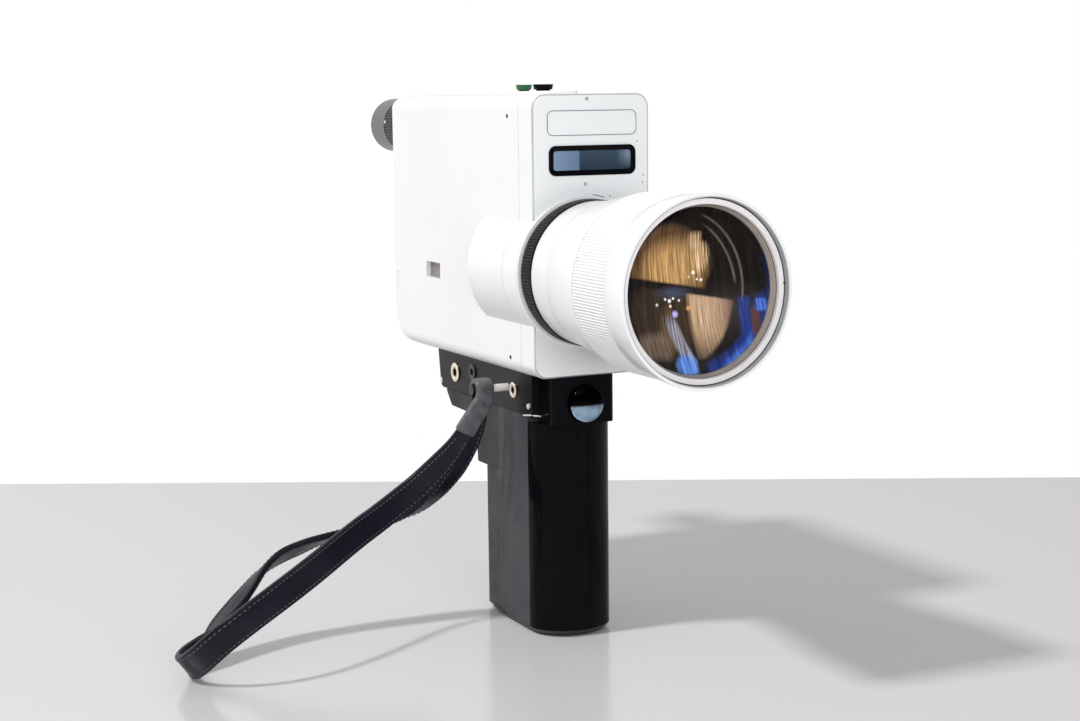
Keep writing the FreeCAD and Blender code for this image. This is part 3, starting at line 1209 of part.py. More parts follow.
def grip_rear(inset, z0, z1):
    """Rear part of the grip's section as a prism: flat sides, slanted facets, rounded back corners."""
    chord_y = -GRIP_FRONT + GRIP_D_L
    side = GRIP_HALF_W - inset
    rear = GRIP_REAR_HALF_W - inset
    radius = max(GRIP_REAR_R - inset, 1.0)
    back = GRIP_BACK - inset
    corners = (
        (-side, chord_y, 0), (side, chord_y, 0), (side, GRIP_SIDE_END, 0), (rear, back, radius),
        (-rear, back, radius), (-side, GRIP_SIDE_END, 0),
    )
    return prism(corners, lambda u, v: Vector(u, v, z0), Vector(0, 0, z1 - z0))


def grip_front():
    z0, z1 = CAP_T, box_z(BLOCK_H) - 0.2
    strip = grip_d(0.0, z0, z1)
    chord_y = -GRIP_FRONT + GRIP_D_L
    hollow_front = CELL_ROWS[0] - CELL_AA_R - 0.6
    half = CELL_PITCH + 0.4
    strip = strip.cut(block(-half, half, hollow_front, chord_y + 1, z0 - 1, GRIP_HOLLOW_TOP))
    groove_y = -GRIP_FRONT + CHANNEL_DEPTH
    channel = block(-CHANNEL_W / 2, CHANNEL_W / 2, -GRIP_FRONT - 1, groove_y, z0 - 1, CHANNEL_TOP)
    head = rod(CHANNEL_W / 2, (0, -GRIP_FRONT - 1, CHANNEL_TOP), 1 + CHANNEL_DEPTH, BACKWARD)
    stud = rod(CHANNEL_W / 2 - STUD_GAP, (0, -GRIP_FRONT, CHANNEL_TOP), CHANNEL_DEPTH + 1, BACKWARD)
    return join(strip.cut(channel).cut(head), stud)


def grip_shell():
    z0, z1 = CAP_T, box_z(BOX_H) - 0.2
    shell = grip_rear(0.0, z0, z1)
    top = z1
    tang = [(GRIP_SIDE_END, top, 0), (TANG[0][0] + 0.2, top, 0)]
    tang += [(y, box_z(drop), radius) for y, drop, radius in TANG]
    tang += [(GRIP_SIDE_END, box_z(TANG[-1][1]), 0)]
    tang_solid = prism(tang, lambda u, v: Vector(-GRIP_HALF_W, u, v), Vector(2 * GRIP_HALF_W, 0, 0))
    shell = join(shell, tang_solid)
    chord_y = -GRIP_FRONT + GRIP_D_L
    half = CELL_PITCH + 0.2
    rear = CELL_ROWS[-1] + CELL_AA_R + 0.6
    return shell.cut(block(-half, half, chord_y - 1, rear, z0 - 1, GRIP_HOLLOW_TOP))


def base_cap():
    """Cap that closes the battery compartment; the camera stands on it."""
    cap = join(grip_d(0.0, 0.0, CAP_T - 0.2), grip_rear(0.0, 0.0, CAP_T - 0.2))
    cap = cap.makeChamfer(CAP_CHAMFER, edges_in_plane(cap, "z", 0.0))
    cap = cap.cut(rod(TRIPOD_R, (0, TRIPOD_Y, -1), CAP_T + 2, UP))
    return cap.cut(rod(LOCK_R + RUNNING_FIT, (0, LOCK_Y, -1), CAP_T + 2, UP))


def tripod_socket():
    body = rod(TRIPOD_R, (0, TRIPOD_Y, TRIPOD_SINK), TRIPOD_L, UP)
    return body.cut(rod(TRIPOD_BORE, (0, TRIPOD_Y, 0), TRIPOD_SINK + TRIPOD_DEPTH, UP))


def lock_screw():
    """Quarter-turn screw that holds the base cap."""
    half = LOCK_SLOT_W / 2
    head = rod(LOCK_R, (0, LOCK_Y, LOCK_SINK), CAP_T - LOCK_SINK, UP)
    head = head.cut(block(-LOCK_R, LOCK_R, LOCK_Y - half, LOCK_Y + half, 0, LOCK_SINK + LOCK_SLOT_DEPTH))
    stem = rod(LOCK_STEM_R, (0, LOCK_Y, CAP_T - 0.1), LOCK_L - CAP_T, UP)
    return join(head, stem)


def cell_places():
    return [(x, y) for x in (-CELL_PITCH / 2, CELL_PITCH / 2) for y in CELL_ROWS]


CELL_Z = HOLDER_BOTTOM + HOLDER_PLATE_T + CONTACT_T
HOLDER_TOP = CELL_Z + CELL_AA_L + CELL_AA_CAP_L + CONTACT_T


def battery_cells():
    cells = []
    for x, y in cell_places():
        body = rod(CELL_AA_R, (x, y, CELL_Z), CELL_AA_L, UP)
        cap = rod(CELL_AA_CAP_R, (x, y, CELL_Z + CELL_AA_L), CELL_AA_CAP_L, UP)
        cells.append(join(body, cap))
    return Part.makeCompound(cells)


def battery_contacts():
    contacts = []
    for x, y in cell_places():
        contacts.append(rod(CONTACT_R, (x, y, HOLDER_BOTTOM + HOLDER_PLATE_T), CONTACT_T, UP))
        contacts.append(rod(CONTACT_R, (x, y, HOLDER_TOP - CONTACT_T), CONTACT_T, UP))
    return Part.makeCompound(contacts)


def battery_holder():
    """Two end plates joined by spines between the cells."""
    half = CELL_PITCH
    front = CELL_ROWS[0] - CELL_AA_R
    rear = CELL_ROWS[-1] + CELL_AA_R
    low = block(-half, half, front, rear, HOLDER_BOTTOM, HOLDER_BOTTOM + HOLDER_PLATE_T)
    high = block(-half, half, front, rear, HOLDER_TOP, HOLDER_TOP + HOLDER_PLATE_T)
    spine = HOLDER_SPINE / 2
    holder = low.fuse(high)
    low_z, high_z = HOLDER_BOTTOM + 0.5, HOLDER_TOP + 0.5
    for a, b in zip(CELL_ROWS[:-1], CELL_ROWS[1:]):
        y = (a + b) / 2
        holder = holder.fuse(block(-spine, spine, y - spine, y + spine, low_z, high_z))
    return holder.removeSplitter()


# Wrist strap: one closed band through the route's points
STRAP_X = -BOX_HALF_W - STRAP_PIN_OUT + STRAP_PIN_HEAD_T + STRAP_PIN_W / 2 + STRAP_END_PLAY
STRAP_PIN_PLACE = Vector(STRAP_X, body_y(STRAP_PIN_Y), box_z(STRAP_PIN_DROP))


def smooth(points, steps):
    """Points of a Catmull-Rom curve through the given points, with steps spans between neighbours."""
    result = []
    for i in range(len(points) - 1):
        p0 = points[max(i - 1, 0)]
        p1, p2 = points[i], points[i + 1]
        p3 = points[min(i + 2, len(points) - 1)]
        for step in range(steps):
            t = step / steps
            place = []
            for a, b, c, d in zip(p0, p1, p2, p3):
                square = (2 * a - 5 * b + 4 * c - d) * t ** 2
                cube = (3 * b - a - 3 * c + d) * t ** 3
                place.append(0.5 * (2 * b + (c - a) * t + square + cube))
            result.append(tuple(place))
    result.append(tuple(points[-1]))
    return result


def strap_frames():
    """(centre, width direction, inward direction, half width) from in front of the pin to behind it."""
    points = smooth(STRAP_ROUTE, STRAP_STEPS)
    rise = STRAP_PIN_PLACE.z / STRAP_ROUTE_PIN_Z
    frames = []
    for i, (out, back, height, lean, twist, width) in enumerate(points):
        a = points[max(i - 1, 0)]
        b = points[min(i + 1, len(points) - 1)]
        run = (LEFT * (b[0] - a[0]) + BACKWARD * (b[1] - a[1]) + UP * (b[2] - a[2])).normalize()
        tilt, turn = math.radians(lean), math.radians(twist)
        across = LEFT * math.cos(tilt) + UP * math.sin(tilt)
        across = (across - run * across.dot(run)).normalize()
        across = across * math.cos(turn) + run.cross(across) * math.sin(turn)
        place = Vector(STRAP_PIN_PLACE.x, STRAP_PIN_PLACE.y, 0) + LEFT * out + BACKWARD * back
        frames.append((place + UP * height * rise, across, run.cross(across), width / 2))
    return frames


def section(centre, width, face, half_w, half_t):
    """Closed rectangle across the band."""
    corners = [
        centre + width * half_w + face * half_t, centre - width * half_w + face * half_t,
        centre - width * half_w - face * half_t, centre + width * half_w - face * half_t,
    ]
    return Part.makePolygon(corners + [corners[0]])


def over_the_pin():
    """Frames of the half turn over the pin, from behind it to in front of it."""
    radius = STRAP_PIN_R + RUN_GAP + STRAP_T / 2
    frames = []
    for step in range(STRAP_TURN_STEPS + 1):
        angle = math.pi * step / STRAP_TURN_STEPS
        way = BACKWARD * math.cos(angle) + UP * math.sin(angle)
        frames.append((STRAP_PIN_PLACE + way * radius, LEFT, way * -1.0, STRAP_PIN_W / 2))
    return frames


def wrist_strap():
    """One band: over the pin, out along the front strand, round its end and back along the rear strand."""
    turn = over_the_pin()
    centre, width, face, half_w = turn[-1]
    frames = [turn[-1]] + strap_frames() + turn[:-1]
    frames.append((centre + UP * STRAP_BUTT, width, face, half_w))
    return Part.makeLoft([section(c, w, f, half, STRAP_T / 2) for c, w, f, half in frames], True, True)


def strap_keeper():
    """Smooth leather sleeve round the front strand below the pin."""
    pin_z = STRAP_PIN_PLACE.z
    frames = strap_frames()
    frames = [f for f in frames[:len(frames) // 2] if KEEPER_FROM < pin_z - f[0].z < KEEPER_TO]
    inner_t = STRAP_T / 2 + KEEPER_PLAY
    outside = [section(c, w, f, h + KEEPER_PLAY + KEEPER_T, inner_t + KEEPER_T) for c, w, f, h in frames]
    inside = [section(c, w, f, h + KEEPER_PLAY, inner_t) for c, w, f, h in frames]
    return Part.makeLoft(outside, True, True).cut(Part.makeLoft(inside, True, True))


def save_all():
    """Write every sub-part."""
    pieces = {
        "front_housing": front_housing(),
        "name_plate": name_plate(),
        "window_bezel": window_bezel(),
        "window_glass": window_glass(),
        "light_cell": light_cell(),
        "body_shell": body_shell(),
        "film_door": film_door(),
        "door_window": door_window(),
        "door_seal": door_seal(),
        "hinge_knuckles": hinge_knuckles(),
        "lens_tube": lens_tube(),
        "zoom_ring": zoom_ring(),
        "lens_barrel": lens_barrel(),
        "focus_ring": focus_ring(),
        "focus_screws": focus_screws(),
        "front_retainer": front_retainer(),
        "front_lens": front_lens(),
        "zoom_cell": zoom_cell(),
        "zoom_lens": zoom_lens(),
        "iris_plate": iris_plate(),
        "rear_lens": rear_lens(),
        "main_frame": main_frame(),
        "case_screws": case_screws(),
        "film_gate": film_gate(),
        "film_claw": film_claw(),
        "shutter_disc": shutter_disc(),
        "drive_gear": drive_gear(),
        "motor_pinion": motor_pinion(),
        "drive_motor": drive_motor(),
        "takeup_spindle": takeup_spindle(),
        "circuit_board": circuit_board(),
        "finder_tube": finder_tube(),
        "finder_prism": finder_prism(),
        "eyepiece_tube": eyepiece_tube(),
        "dioptre_ring": dioptre_ring(),
        "eyecup": eyecup(),
        "eye_lens": eye_lens(),
        "green_button": top_button(GREEN_Y, GREEN_R, GREEN_CAP),
        "black_button": top_button(BLACK_Y, BLACK_R, BLACK_CAP),
        "speed_dial": dial(SPEED_Y, SPEED_R),
        "exposure_dial": dial(EXPOSURE_Y, EXPOSURE_R),
        "underbody_box": underbody_box(),
        "strap_pin": strap_pin(),
        "front_block": front_block(),
        "release_button": release_button(),
        "release_spring": release_spring(),
        "release_switch": release_switch(),
        "grip_front": grip_front(),
        "grip_shell": grip_shell(),
        "base_cap": base_cap(),
        "wrist_strap": wrist_strap(),
        "strap_keeper": strap_keeper(),
        "tripod_socket": tripod_socket(),
        "lock_screw": lock_screw(),
        "battery_cells": battery_cells(),
        "battery_contacts": battery_contacts(),
        "battery_holder": battery_holder(),
    }
    for name, places in zip(("rear_jack", "front_jack", "cable_release_socket"), sockets()):
        pieces[name] = socket_piece(*places)
    for node, shape in pieces.items():
        save(node, shape)


save_all()
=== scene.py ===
import json
import math

import bmesh
import bpy
import numpy as np
from mathutils import Matrix, Vector


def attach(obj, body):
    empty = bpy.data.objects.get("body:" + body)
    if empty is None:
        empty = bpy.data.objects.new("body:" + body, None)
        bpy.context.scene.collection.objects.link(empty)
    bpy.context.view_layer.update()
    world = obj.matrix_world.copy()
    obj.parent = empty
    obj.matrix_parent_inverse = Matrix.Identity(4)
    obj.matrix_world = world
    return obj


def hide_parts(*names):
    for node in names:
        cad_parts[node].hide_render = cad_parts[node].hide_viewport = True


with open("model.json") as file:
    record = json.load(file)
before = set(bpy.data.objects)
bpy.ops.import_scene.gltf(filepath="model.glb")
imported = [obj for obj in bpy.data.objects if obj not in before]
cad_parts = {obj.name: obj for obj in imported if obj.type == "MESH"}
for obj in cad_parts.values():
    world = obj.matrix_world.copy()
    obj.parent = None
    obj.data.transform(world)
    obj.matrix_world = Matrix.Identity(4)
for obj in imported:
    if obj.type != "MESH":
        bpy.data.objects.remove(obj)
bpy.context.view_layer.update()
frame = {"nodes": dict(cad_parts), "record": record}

bl_info = {
    "name": "Movie camera",
    "version": (1, 0, 0),
    "blender": (4, 5, 0),
    "location": "3D View > Sidebar > Movie camera",
    "description": "A cine camera with a zoom lens, a pistol grip and a wrist strap",
    "category": "Object",
}

NODES = frame["nodes"]
MM = 0.001
LEFT, BACK, UP = np.array([-1.0, 0.0, 0.0]), np.array([0.0, 1.0, 0.0]), np.array([0.0, 0.0, 1.0])


# Settings ---------------------------------------------------------------------------------------


def size(name, description, default):
    """A length in metres that a user can change."""
    return bpy.props.FloatProperty(
        name=name, description=description, default=default, unit="LENGTH", precision=5
    )


def number(name, description, default):
    """A plain number that a user can change."""
    return bpy.props.FloatProperty(name=name, description=description, default=default)


def tone(name, description, default):
    """A colour that a user can change."""
    return bpy.props.FloatVectorProperty(
        name=name, description=description, default=default, size=3, subtype="COLOR", min=0.0, max=1.0
    )


class LensSizes(bpy.types.PropertyGroup):
    axis_z: size("Axis height", "Height of the lens axis", 149.5 * MM)
    ring_r: size("Zoom ring radius", "Radius over the zoom ring's teeth", 29.0 * MM)
    groove_r: size("Groove radius", "Radius of the smooth part of the zoom ring", 28.2 * MM)
    tooth: size("Tooth depth", "Depth of the zoom ring's teeth", 0.45 * MM)
    teeth: bpy.props.IntProperty(name="Teeth", description="Teeth round the zoom ring", default=140)
    barrel_rear_r: size("Barrel rear radius", "Radius of the barrel behind its step", 28.5 * MM)
    barrel_step_r: size("Barrel step radius", "Radius of the barrel before its step", 29.4 * MM)
    barrel_front_r: size("Barrel front radius", "Radius of the barrel at the focus ring", 34.0 * MM)
    rib_depth: size("Rib depth", "Depth of the fine ribs of the focus ring", 0.35 * MM)
    ribs: bpy.props.IntProperty(name="Ribs", description="Ribs round the focus ring", default=180)
    rim_r: size("Rim radius", "Radius of the front rim", 35.0 * MM)
    thread_r: size("Thread radius", "Radius of the filter thread", 33.5 * MM)
    glass_curve: size("Front curve", "Radius of the front glass's curve", 110.0 * MM)


class StrapSizes(bpy.types.PropertyGroup):
    thickness: size("Thickness", "Thickness of the strap", 2.6 * MM)
    edge: size("Edge rounding", "Rounding of the strap's edges", 0.9 * MM)
    stitch_l: size("Stitch length", "Length of one stitch", 1.35 * MM)
    stitch_gap: size("Stitch spacing", "Distance from stitch to stitch", 2.1 * MM)
    stitch_r: size("Thread radius", "Radius of the thread", 0.24 * MM)
    stitch_inset: size("Stitch inset", "Distance of the stitches from the edge", 1.5 * MM)
    sleeve_t: size("Sleeve thickness", "Thickness of the sleeve's leather", 0.9 * MM)


class Colours(bpy.types.PropertyGroup):
    enamel: tone("Enamel", "Paint of the casing and the lens", (0.825, 0.825, 0.82))
    enamel_old: tone("Enamel, aged", "Paint where it has yellowed", (0.805, 0.80, 0.785))
    black: tone("Black", "Glossy black plastic", (0.003, 0.003, 0.004))
    grip: tone("Grip", "Grained plastic of the grip's sides", (0.036, 0.038, 0.044))
    leather: tone("Strap leather", "Leather of the strap", (0.006, 0.006, 0.010))
    sleeve: tone("Sleeve leather", "Smooth leather of the sleeve", (0.055, 0.053, 0.058))
    thread: tone("Thread", "Stitches of the strap", (0.085, 0.088, 0.10))
    # Colours of the painted reflections in the coated glass.
    amber: tone("Amber reflection", "Painted amber reflection in the coated glass", (0.86, 0.50, 0.20))
    blue: tone("Blue reflection", "Painted blue reflection at the edge of the coated glass", (0.020, 0.060, 0.42))
    table: tone("Table", "Top of the table under the camera", (0.63, 0.61, 0.62))


class StudioSizes(bpy.types.PropertyGroup):
    focal: number("Focal length", "Focal length in millimetres on a 36 mm sensor", 61.66)
    key: number("Key", "Power of the small lamp high up at the left", 136.0)
    fill: number("Fill", "Power of the wide soft lamp in front", 38.0)
    wall: number("Wall", "Brightness of the white wall behind", 1.1)
    room: number("Room", "Brightness of the room in front", 0.4)
    reflected_room: number("Reflected room", "Brightness of the room in front in reflections", 0.10)
    right_share: number("Right share", "Brightness of the room's right end against its left", 0.4)


def settings():
    """The sizes and colours kept in the scene."""
    return bpy.context.scene.movie_camera


# Surfaces ---------------------------------------------------------------------------------------

MERGE_DISTANCE = 1e-6
POINTS_PER_TOOTH = 8
TOOTH_FLANK = 0.12
HEAD_DEPTH = 0.4
HEAD_DOME = 0.5
DASH_SIDES = 6


def grid_faces(nu, nv, close_u, close_v):
    """Quads of an nu by nv grid of points; point (i, j) has number i nv + j."""
    u = np.arange(nu if close_u else nu - 1)
    v = np.arange(nv if close_v else nv - 1)
    a, b = np.meshgrid(u, v, indexing="ij")
    a1, b1 = (a + 1) % nu, (b + 1) % nv
    return np.stack([a * nv + b, a1 * nv + b, a1 * nv + b1, a * nv + b1], -1).reshape(-1, 4)


def face_outwards(mesh, merge=False):
    """Turns the faces of a closed surface outwards; merge first joins the points that coincide."""
    bm = bmesh.new()
    bm.from_mesh(mesh)
    if merge:
        bmesh.ops.remove_doubles(bm, verts=bm.verts, dist=MERGE_DISTANCE)
    bmesh.ops.recalc_face_normals(bm, faces=bm.faces)
    bm.to_mesh(mesh)
    bm.free()


def mesh_object(name, points, faces, material, body, smooth=40.0, merge=False):
    """A mesh piece from points in millimetres and faces, shaded smooth below the given edge angle."""
    mesh = bpy.data.meshes.new(name)
    points = np.asarray(points, float).reshape(-1, 3)
    mesh.from_pydata((points * MM).tolist(), [], [list(face) for face in faces])
    if merge:
        face_outwards(mesh, merge=True)
    mesh.validate()
    mesh.polygons.foreach_set("use_smooth", np.ones(len(mesh.polygons), bool))
    mesh.set_sharp_from_angle(angle=math.radians(smooth))
    mesh.materials.append(material)
    piece = bpy.data.objects.new(name, mesh)
    bpy.context.scene.collection.objects.link(piece)
    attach(piece, body)
    return piece


def circle(count):
    """Angles of evenly spaced points round a circle."""
    return np.arange(count) * 2 * np.pi / count


def rounded(profile, radii, steps=4):
    """Closed profile with its corners rounded.

    A corner P between the directions a and b to its neighbours becomes the quadratic curve
    (1 - t)^2 (P + r a) + 2 t (1 - t) P + t^2 (P + r b), t from 0 to 1.
    """
    pts = np.asarray(profile, float)
    radii = np.broadcast_to(radii, len(pts))
    before, after = np.roll(pts, 1, 0) - pts, np.roll(pts, -1, 0) - pts
    la, lb = np.linalg.norm(before, axis=1), np.linalg.norm(after, axis=1)
    reach = np.minimum(radii, 0.48 * np.minimum(la, lb))[:, None]
    start, end = pts + before / la[:, None] * reach, pts + after / lb[:, None] * reach
    t = np.linspace(0.0, 1.0, steps)[None, :, None]
    arcs = (1 - t) ** 2 * start[:, None] + 2 * t * (1 - t) * pts[:, None] + t ** 2 * end[:, None]
    return arcs.reshape(-1, 2)


def about_lens(y, r):
    """Points (r cos a, y, z + r sin a) about the lens axis, for rows of radii at the heights y."""
    a = circle(r.shape[1])
    z = settings().lens.axis_z / MM
    return np.stack([r * np.cos(a), np.repeat(y[:, None], r.shape[1], 1), z + r * np.sin(a)], -1)


def turned(
    name, profile, material, body, segments=160, teeth=0, depth=0.0, toothed=None, share=0.5, smooth=40.0,
):
    """A closed profile (y, r) turned about the lens axis.

    On the toothed rows the radius is r - depth w(a), where w is 0 on a tooth's top and 1 in the gap,
    blended over the flanks; share is the gap's part of the pitch.
    """
    prof = np.asarray(profile, float)
    count = teeth * POINTS_PER_TOOTH if teeth else segments
    r = np.repeat(prof[:, 1][:, None], count, 1)
    if teeth:
        phase = (np.arange(count) % POINTS_PER_TOOTH) / POINTS_PER_TOOTH
        edge = (share - TOOTH_FLANK) / 2
        top = np.clip((np.abs(phase - 0.5) - edge) / TOOTH_FLANK, 0.0, 1.0)
        r = r - depth * (1.0 - top)[None, :] * np.asarray(toothed, float)[:, None]
    faces = grid_faces(len(prof), count, True, True)
    return mesh_object(name, about_lens(prof[:, 0], r), faces, material, body, smooth, merge=True)


def dome(name, rim_y, rim_r, curve, back_y, material, body, rows=30, segments=160):
    """Lens on the lens axis with a ball-shaped front and a flat back.

    The front is y = rim_y - (sqrt(curve^2 - r^2) - sqrt(curve^2 - rim_r^2)) for r from 0 to rim_r;
    a negative curve makes it hollow.
    """
    r = np.linspace(0.0, 1.0, rows) * rim_r
    sag = np.sqrt(curve ** 2 - r ** 2) - np.sqrt(curve ** 2 - rim_r ** 2)
    front = np.stack([rim_y - np.sign(curve) * sag, r], -1)
    back = np.array([[back_y, rim_r], [back_y, rim_r * 0.5], [back_y, 0.0]])
    prof = np.concatenate([front, back])
    pts = about_lens(prof[:, 0], np.repeat(prof[:, 1][:, None], segments, 1))
    return mesh_object(name, pts, grid_faces(len(prof), segments, False, True), material, body, 30.0, merge=True)


def outline_points(half_w, half_h, corner, steps=8):
    """Points of a rounded rectangle, anticlockwise.

    Each corner is a quarter circle (x0 + c cos t, z0 + c sin t) about (x0, z0), which lies the
    corner's radius c inside both edges.
    """
    t = np.linspace(0, np.pi / 2, steps)
    parts = []
    for sx, sz, turn in ((1, 1, 0), (-1, 1, np.pi / 2), (-1, -1, np.pi), (1, -1, 3 * np.pi / 2)):
        x = sx * (half_w - corner) + corner * np.cos(t + turn)
        z = sz * (half_h - corner) + corner * np.sin(t + turn)
        parts.append(np.stack([x, z], -1))
    return np.concatenate(parts)


def frame_ring(name, centre, outer, inner, section, material):
    """A rounded rectangular frame in the front face.

    outer and inner are (half width, half height, corner), with outlines A and B; section lists
    (share s from outer to inner, y), and each row is A (1 - s) + B s at the height y.
    """
    a, b = outline_points(*outer), outline_points(*inner)
    rows = [np.concatenate([a * (1 - s) + b * s, np.full((len(a), 1), y)], 1) for s, y in section]
    pts = np.stack(rows)[:, :, [0, 2, 1]] + np.array([centre[0], 0.0, centre[1]])
    faces = grid_faces(len(section), len(a), True, True)
    return mesh_object(name, pts, faces, material, "camera", 30.0, merge=True)


def knobs(name, places, way, radius, height, material, body, sides=20):
    """Small round heads: each a short cylinder with a domed end, standing at a place along way.

    Rings are place + h way + r (cos a side + sin a up), where over the dome r = radius cos t and
    h = height (1 - HEAD_DOME + HEAD_DOME sin t), t from 0 to a quarter turn.
    """
    t = np.linspace(0, np.pi / 2, 5)
    prof_r = np.concatenate([[radius], radius * np.cos(t)])
    prof_h = np.concatenate([[-HEAD_DEPTH], height * (1 - HEAD_DOME) + height * HEAD_DOME * np.sin(t)])
    side = np.cross(way, UP)
    up = np.cross(way, side)
    a = circle(sides)
    rim = np.cos(a)[:, None] * side + np.sin(a)[:, None] * up
    head = prof_h[:, None, None] * way + prof_r[:, None, None] * rim[None]
    one = grid_faces(len(prof_r), sides, False, True).tolist() + [list(range(sides))]
    faces = [[corner + i * head.size // 3 for corner in face] for i in range(len(places)) for face in one]
    pts = [np.asarray(place, float) + head for place in places]
    return mesh_object(name, np.stack(pts), faces, material, body, merge=True)


def dash(name, runs, radius, material):
    """Short round-ended rods, one for each (start, end).

    Rings are start + s (end - start) + g(s) (cos a side + sin a up), with the girth g falling to 0
    at both ends.
    """
    runs = np.asarray(runs, float)
    start, end = runs[:, 0], runs[:, 1]
    way = end - start
    way = way / np.linalg.norm(way, axis=1, keepdims=True)
    side = np.cross(way, np.where(np.abs(way[:, 2:]) < 0.9, UP[None], BACK[None]))
    side /= np.linalg.norm(side, axis=1, keepdims=True)
    up = np.cross(way, side)
    along = np.array([0.0, 0.04, 0.15, 0.5, 0.85, 0.96, 1.0])
    girth = radius * np.array([0.0, 0.6, 1.0, 1.0, 1.0, 0.6, 0.0])
    a = circle(DASH_SIDES)
    rim = np.cos(a)[None, :, None] * side[:, None] + np.sin(a)[None, :, None] * up[:, None]
    line = start[:, None] + along[None, :, None] * (end - start)[:, None]
    pts = line[:, :, None] + girth[None, :, None, None] * rim[:, None]
    one = grid_faces(len(along), DASH_SIDES, False, True)
    first = np.arange(len(runs)) * len(along) * DASH_SIDES
    faces = (one[None] + first[:, None, None]).reshape(-1, 4)
    return mesh_object(name, pts, faces, material, "camera", 60.0, merge=True)


# Materials --------------------------------------------------------------------------------------


def new_group(name, inputs, outputs):
    """An empty node group with the given sockets; each input is (kind, name, default)."""
    tree = bpy.data.node_groups.new(name, "ShaderNodeTree")
    for kind, label, default in inputs:
        socket = tree.interface.new_socket(label, in_out="INPUT", socket_type="NodeSocket" + kind)
        if default is not None:
            socket.default_value = default
    for kind, label in outputs:
        tree.interface.new_socket(label, in_out="OUTPUT", socket_type="NodeSocket" + kind)
    return tree, tree.nodes.new("NodeGroupInput"), tree.nodes.new("NodeGroupOutput")


def texture(tree, kind, vector, scale, **more):
    """A noise or Voronoi texture node on a vector; more sets further inputs by name."""
    node = tree.nodes.new("ShaderNodeTex" + kind)
    node.inputs["Scale"].default_value = scale
    for label, value in more.items():
        node.inputs[label].default_value = value
    tree.links.new(vector, node.inputs["Vector"])
    return node


def noise(tree, vector, scale, detail=3.0, rough=0.5):
    """Cloudy value round 0.5; scale is in features per metre on Object coordinates."""
    return texture(tree, "Noise", vector, scale, Detail=detail, Roughness=rough).outputs["Fac"]


def cells(tree, vector, scale):
    """Distance to the nearest of many scattered points."""
    return texture(tree, "Voronoi", vector, scale).outputs["Distance"]


def math_node(tree, operation, a, b=None, clamp=False):
    """One Math node on sockets or numbers."""
    node = tree.nodes.new("ShaderNodeMath")
    node.operation = operation
    node.use_clamp = clamp
    for slot, value in zip(node.inputs, (a, b)):
        if value is None:
            continue
        if isinstance(value, (int, float)):
            slot.default_value = value
        else:
            tree.links.new(value, slot)
    return node.outputs[0]


def times(tree, *values):
    """Product of sockets and numbers."""
    result = values[0]
    for value in values[1:]:
        result = math_node(tree, "MULTIPLY", result, value)
    return result


def ramp(tree, value, low, high, out_low=0.0, out_high=1.0):
    """value mapped from low...high to out_low...out_high, held at the ends."""
    node = tree.nodes.new("ShaderNodeMapRange")
    for label, limit in (("From Min", low), ("From Max", high), ("To Min", out_low), ("To Max", out_high)):
        node.inputs[label].default_value = limit
    tree.links.new(value, node.inputs["Value"])
    return node.outputs["Result"]


def mix(tree, factor, a, b):
    """Mix of two colours, each a socket or a tuple, by a socket."""
    node = tree.nodes.new("ShaderNodeMix")
    node.data_type = "RGBA"
    tree.links.new(factor, node.inputs[0])
    for slot, value in ((node.inputs[6], a), (node.inputs[7], b)):
        if isinstance(value, tuple):
            slot.default_value = (*value, 1.0)
        else:
            tree.links.new(value, slot)
    return node.outputs[2]


def split_vector(tree, vector):
    """X, Y and Z of a vector."""
    split = tree.nodes.new("ShaderNodeSeparateXYZ")
    tree.links.new(vector, split.inputs["Vector"])
    return [split.outputs[axis] for axis in "XYZ"]


def wear_group():
    """Slow blotches and fine dust: a colour between two, a roughness and a fine height."""
    if "Age" in bpy.data.node_groups:
        return bpy.data.node_groups["Age"]
    tree, given, out = new_group(
        "Age",
        [
            ("Vector", "Vector", None), ("Color", "Colour", None), ("Color", "Aged", None),
            ("Float", "Blotch", 40.0), ("Float", "Grain", 900.0), ("Float", "Rough", 0.4), ("Float", "Spread", 0.06),
        ],
        [("Color", "Colour"), ("Float", "Rough"), ("Float", "Height")],
    )
    blotch = tree.nodes.new("ShaderNodeTexNoise")
    grain = tree.nodes.new("ShaderNodeTexNoise")
    for node, label, detail in ((blotch, "Blotch", 3.0), (grain, "Grain", 2.0)):
        node.inputs["Detail"].default_value = detail
        tree.links.new(given.outputs["Vector"], node.inputs["Vector"])
        tree.links.new(given.outputs[label], node.inputs["Scale"])
    share = ramp(tree, blotch.outputs["Fac"], 0.35, 0.75)
    tree.links.new(mix(tree, share, given.outputs["Colour"], given.outputs["Aged"]), out.inputs["Colour"])
    wobble = math_node(tree, "SUBTRACT", blotch.outputs["Fac"], 0.5)
    swing = times(tree, wobble, given.outputs["Spread"], 4.0)
    tree.links.new(math_node(tree, "ADD", given.outputs["Rough"], swing, True), out.inputs["Rough"])
    tree.links.new(grain.outputs["Fac"], out.inputs["Height"])
    return tree


def make_material(name):
    """A material with only a Principled surface: the material, its tree, surface and coordinates."""
    mat = bpy.data.materials.new(name)
    mat.use_nodes = True
    tree = mat.node_tree
    return mat, tree, tree.nodes["Principled BSDF"], tree.nodes.new("ShaderNodeTexCoord")


def bump(tree, shader, height, strength, distance):
    """Small relief, with its height in metres as distance."""
    node = tree.nodes.new("ShaderNodeBump")
    node.inputs["Strength"].default_value = strength
    node.inputs["Distance"].default_value = distance
    tree.links.new(height, node.inputs["Height"])
    tree.links.new(node.outputs["Normal"], shader.inputs["Normal"])


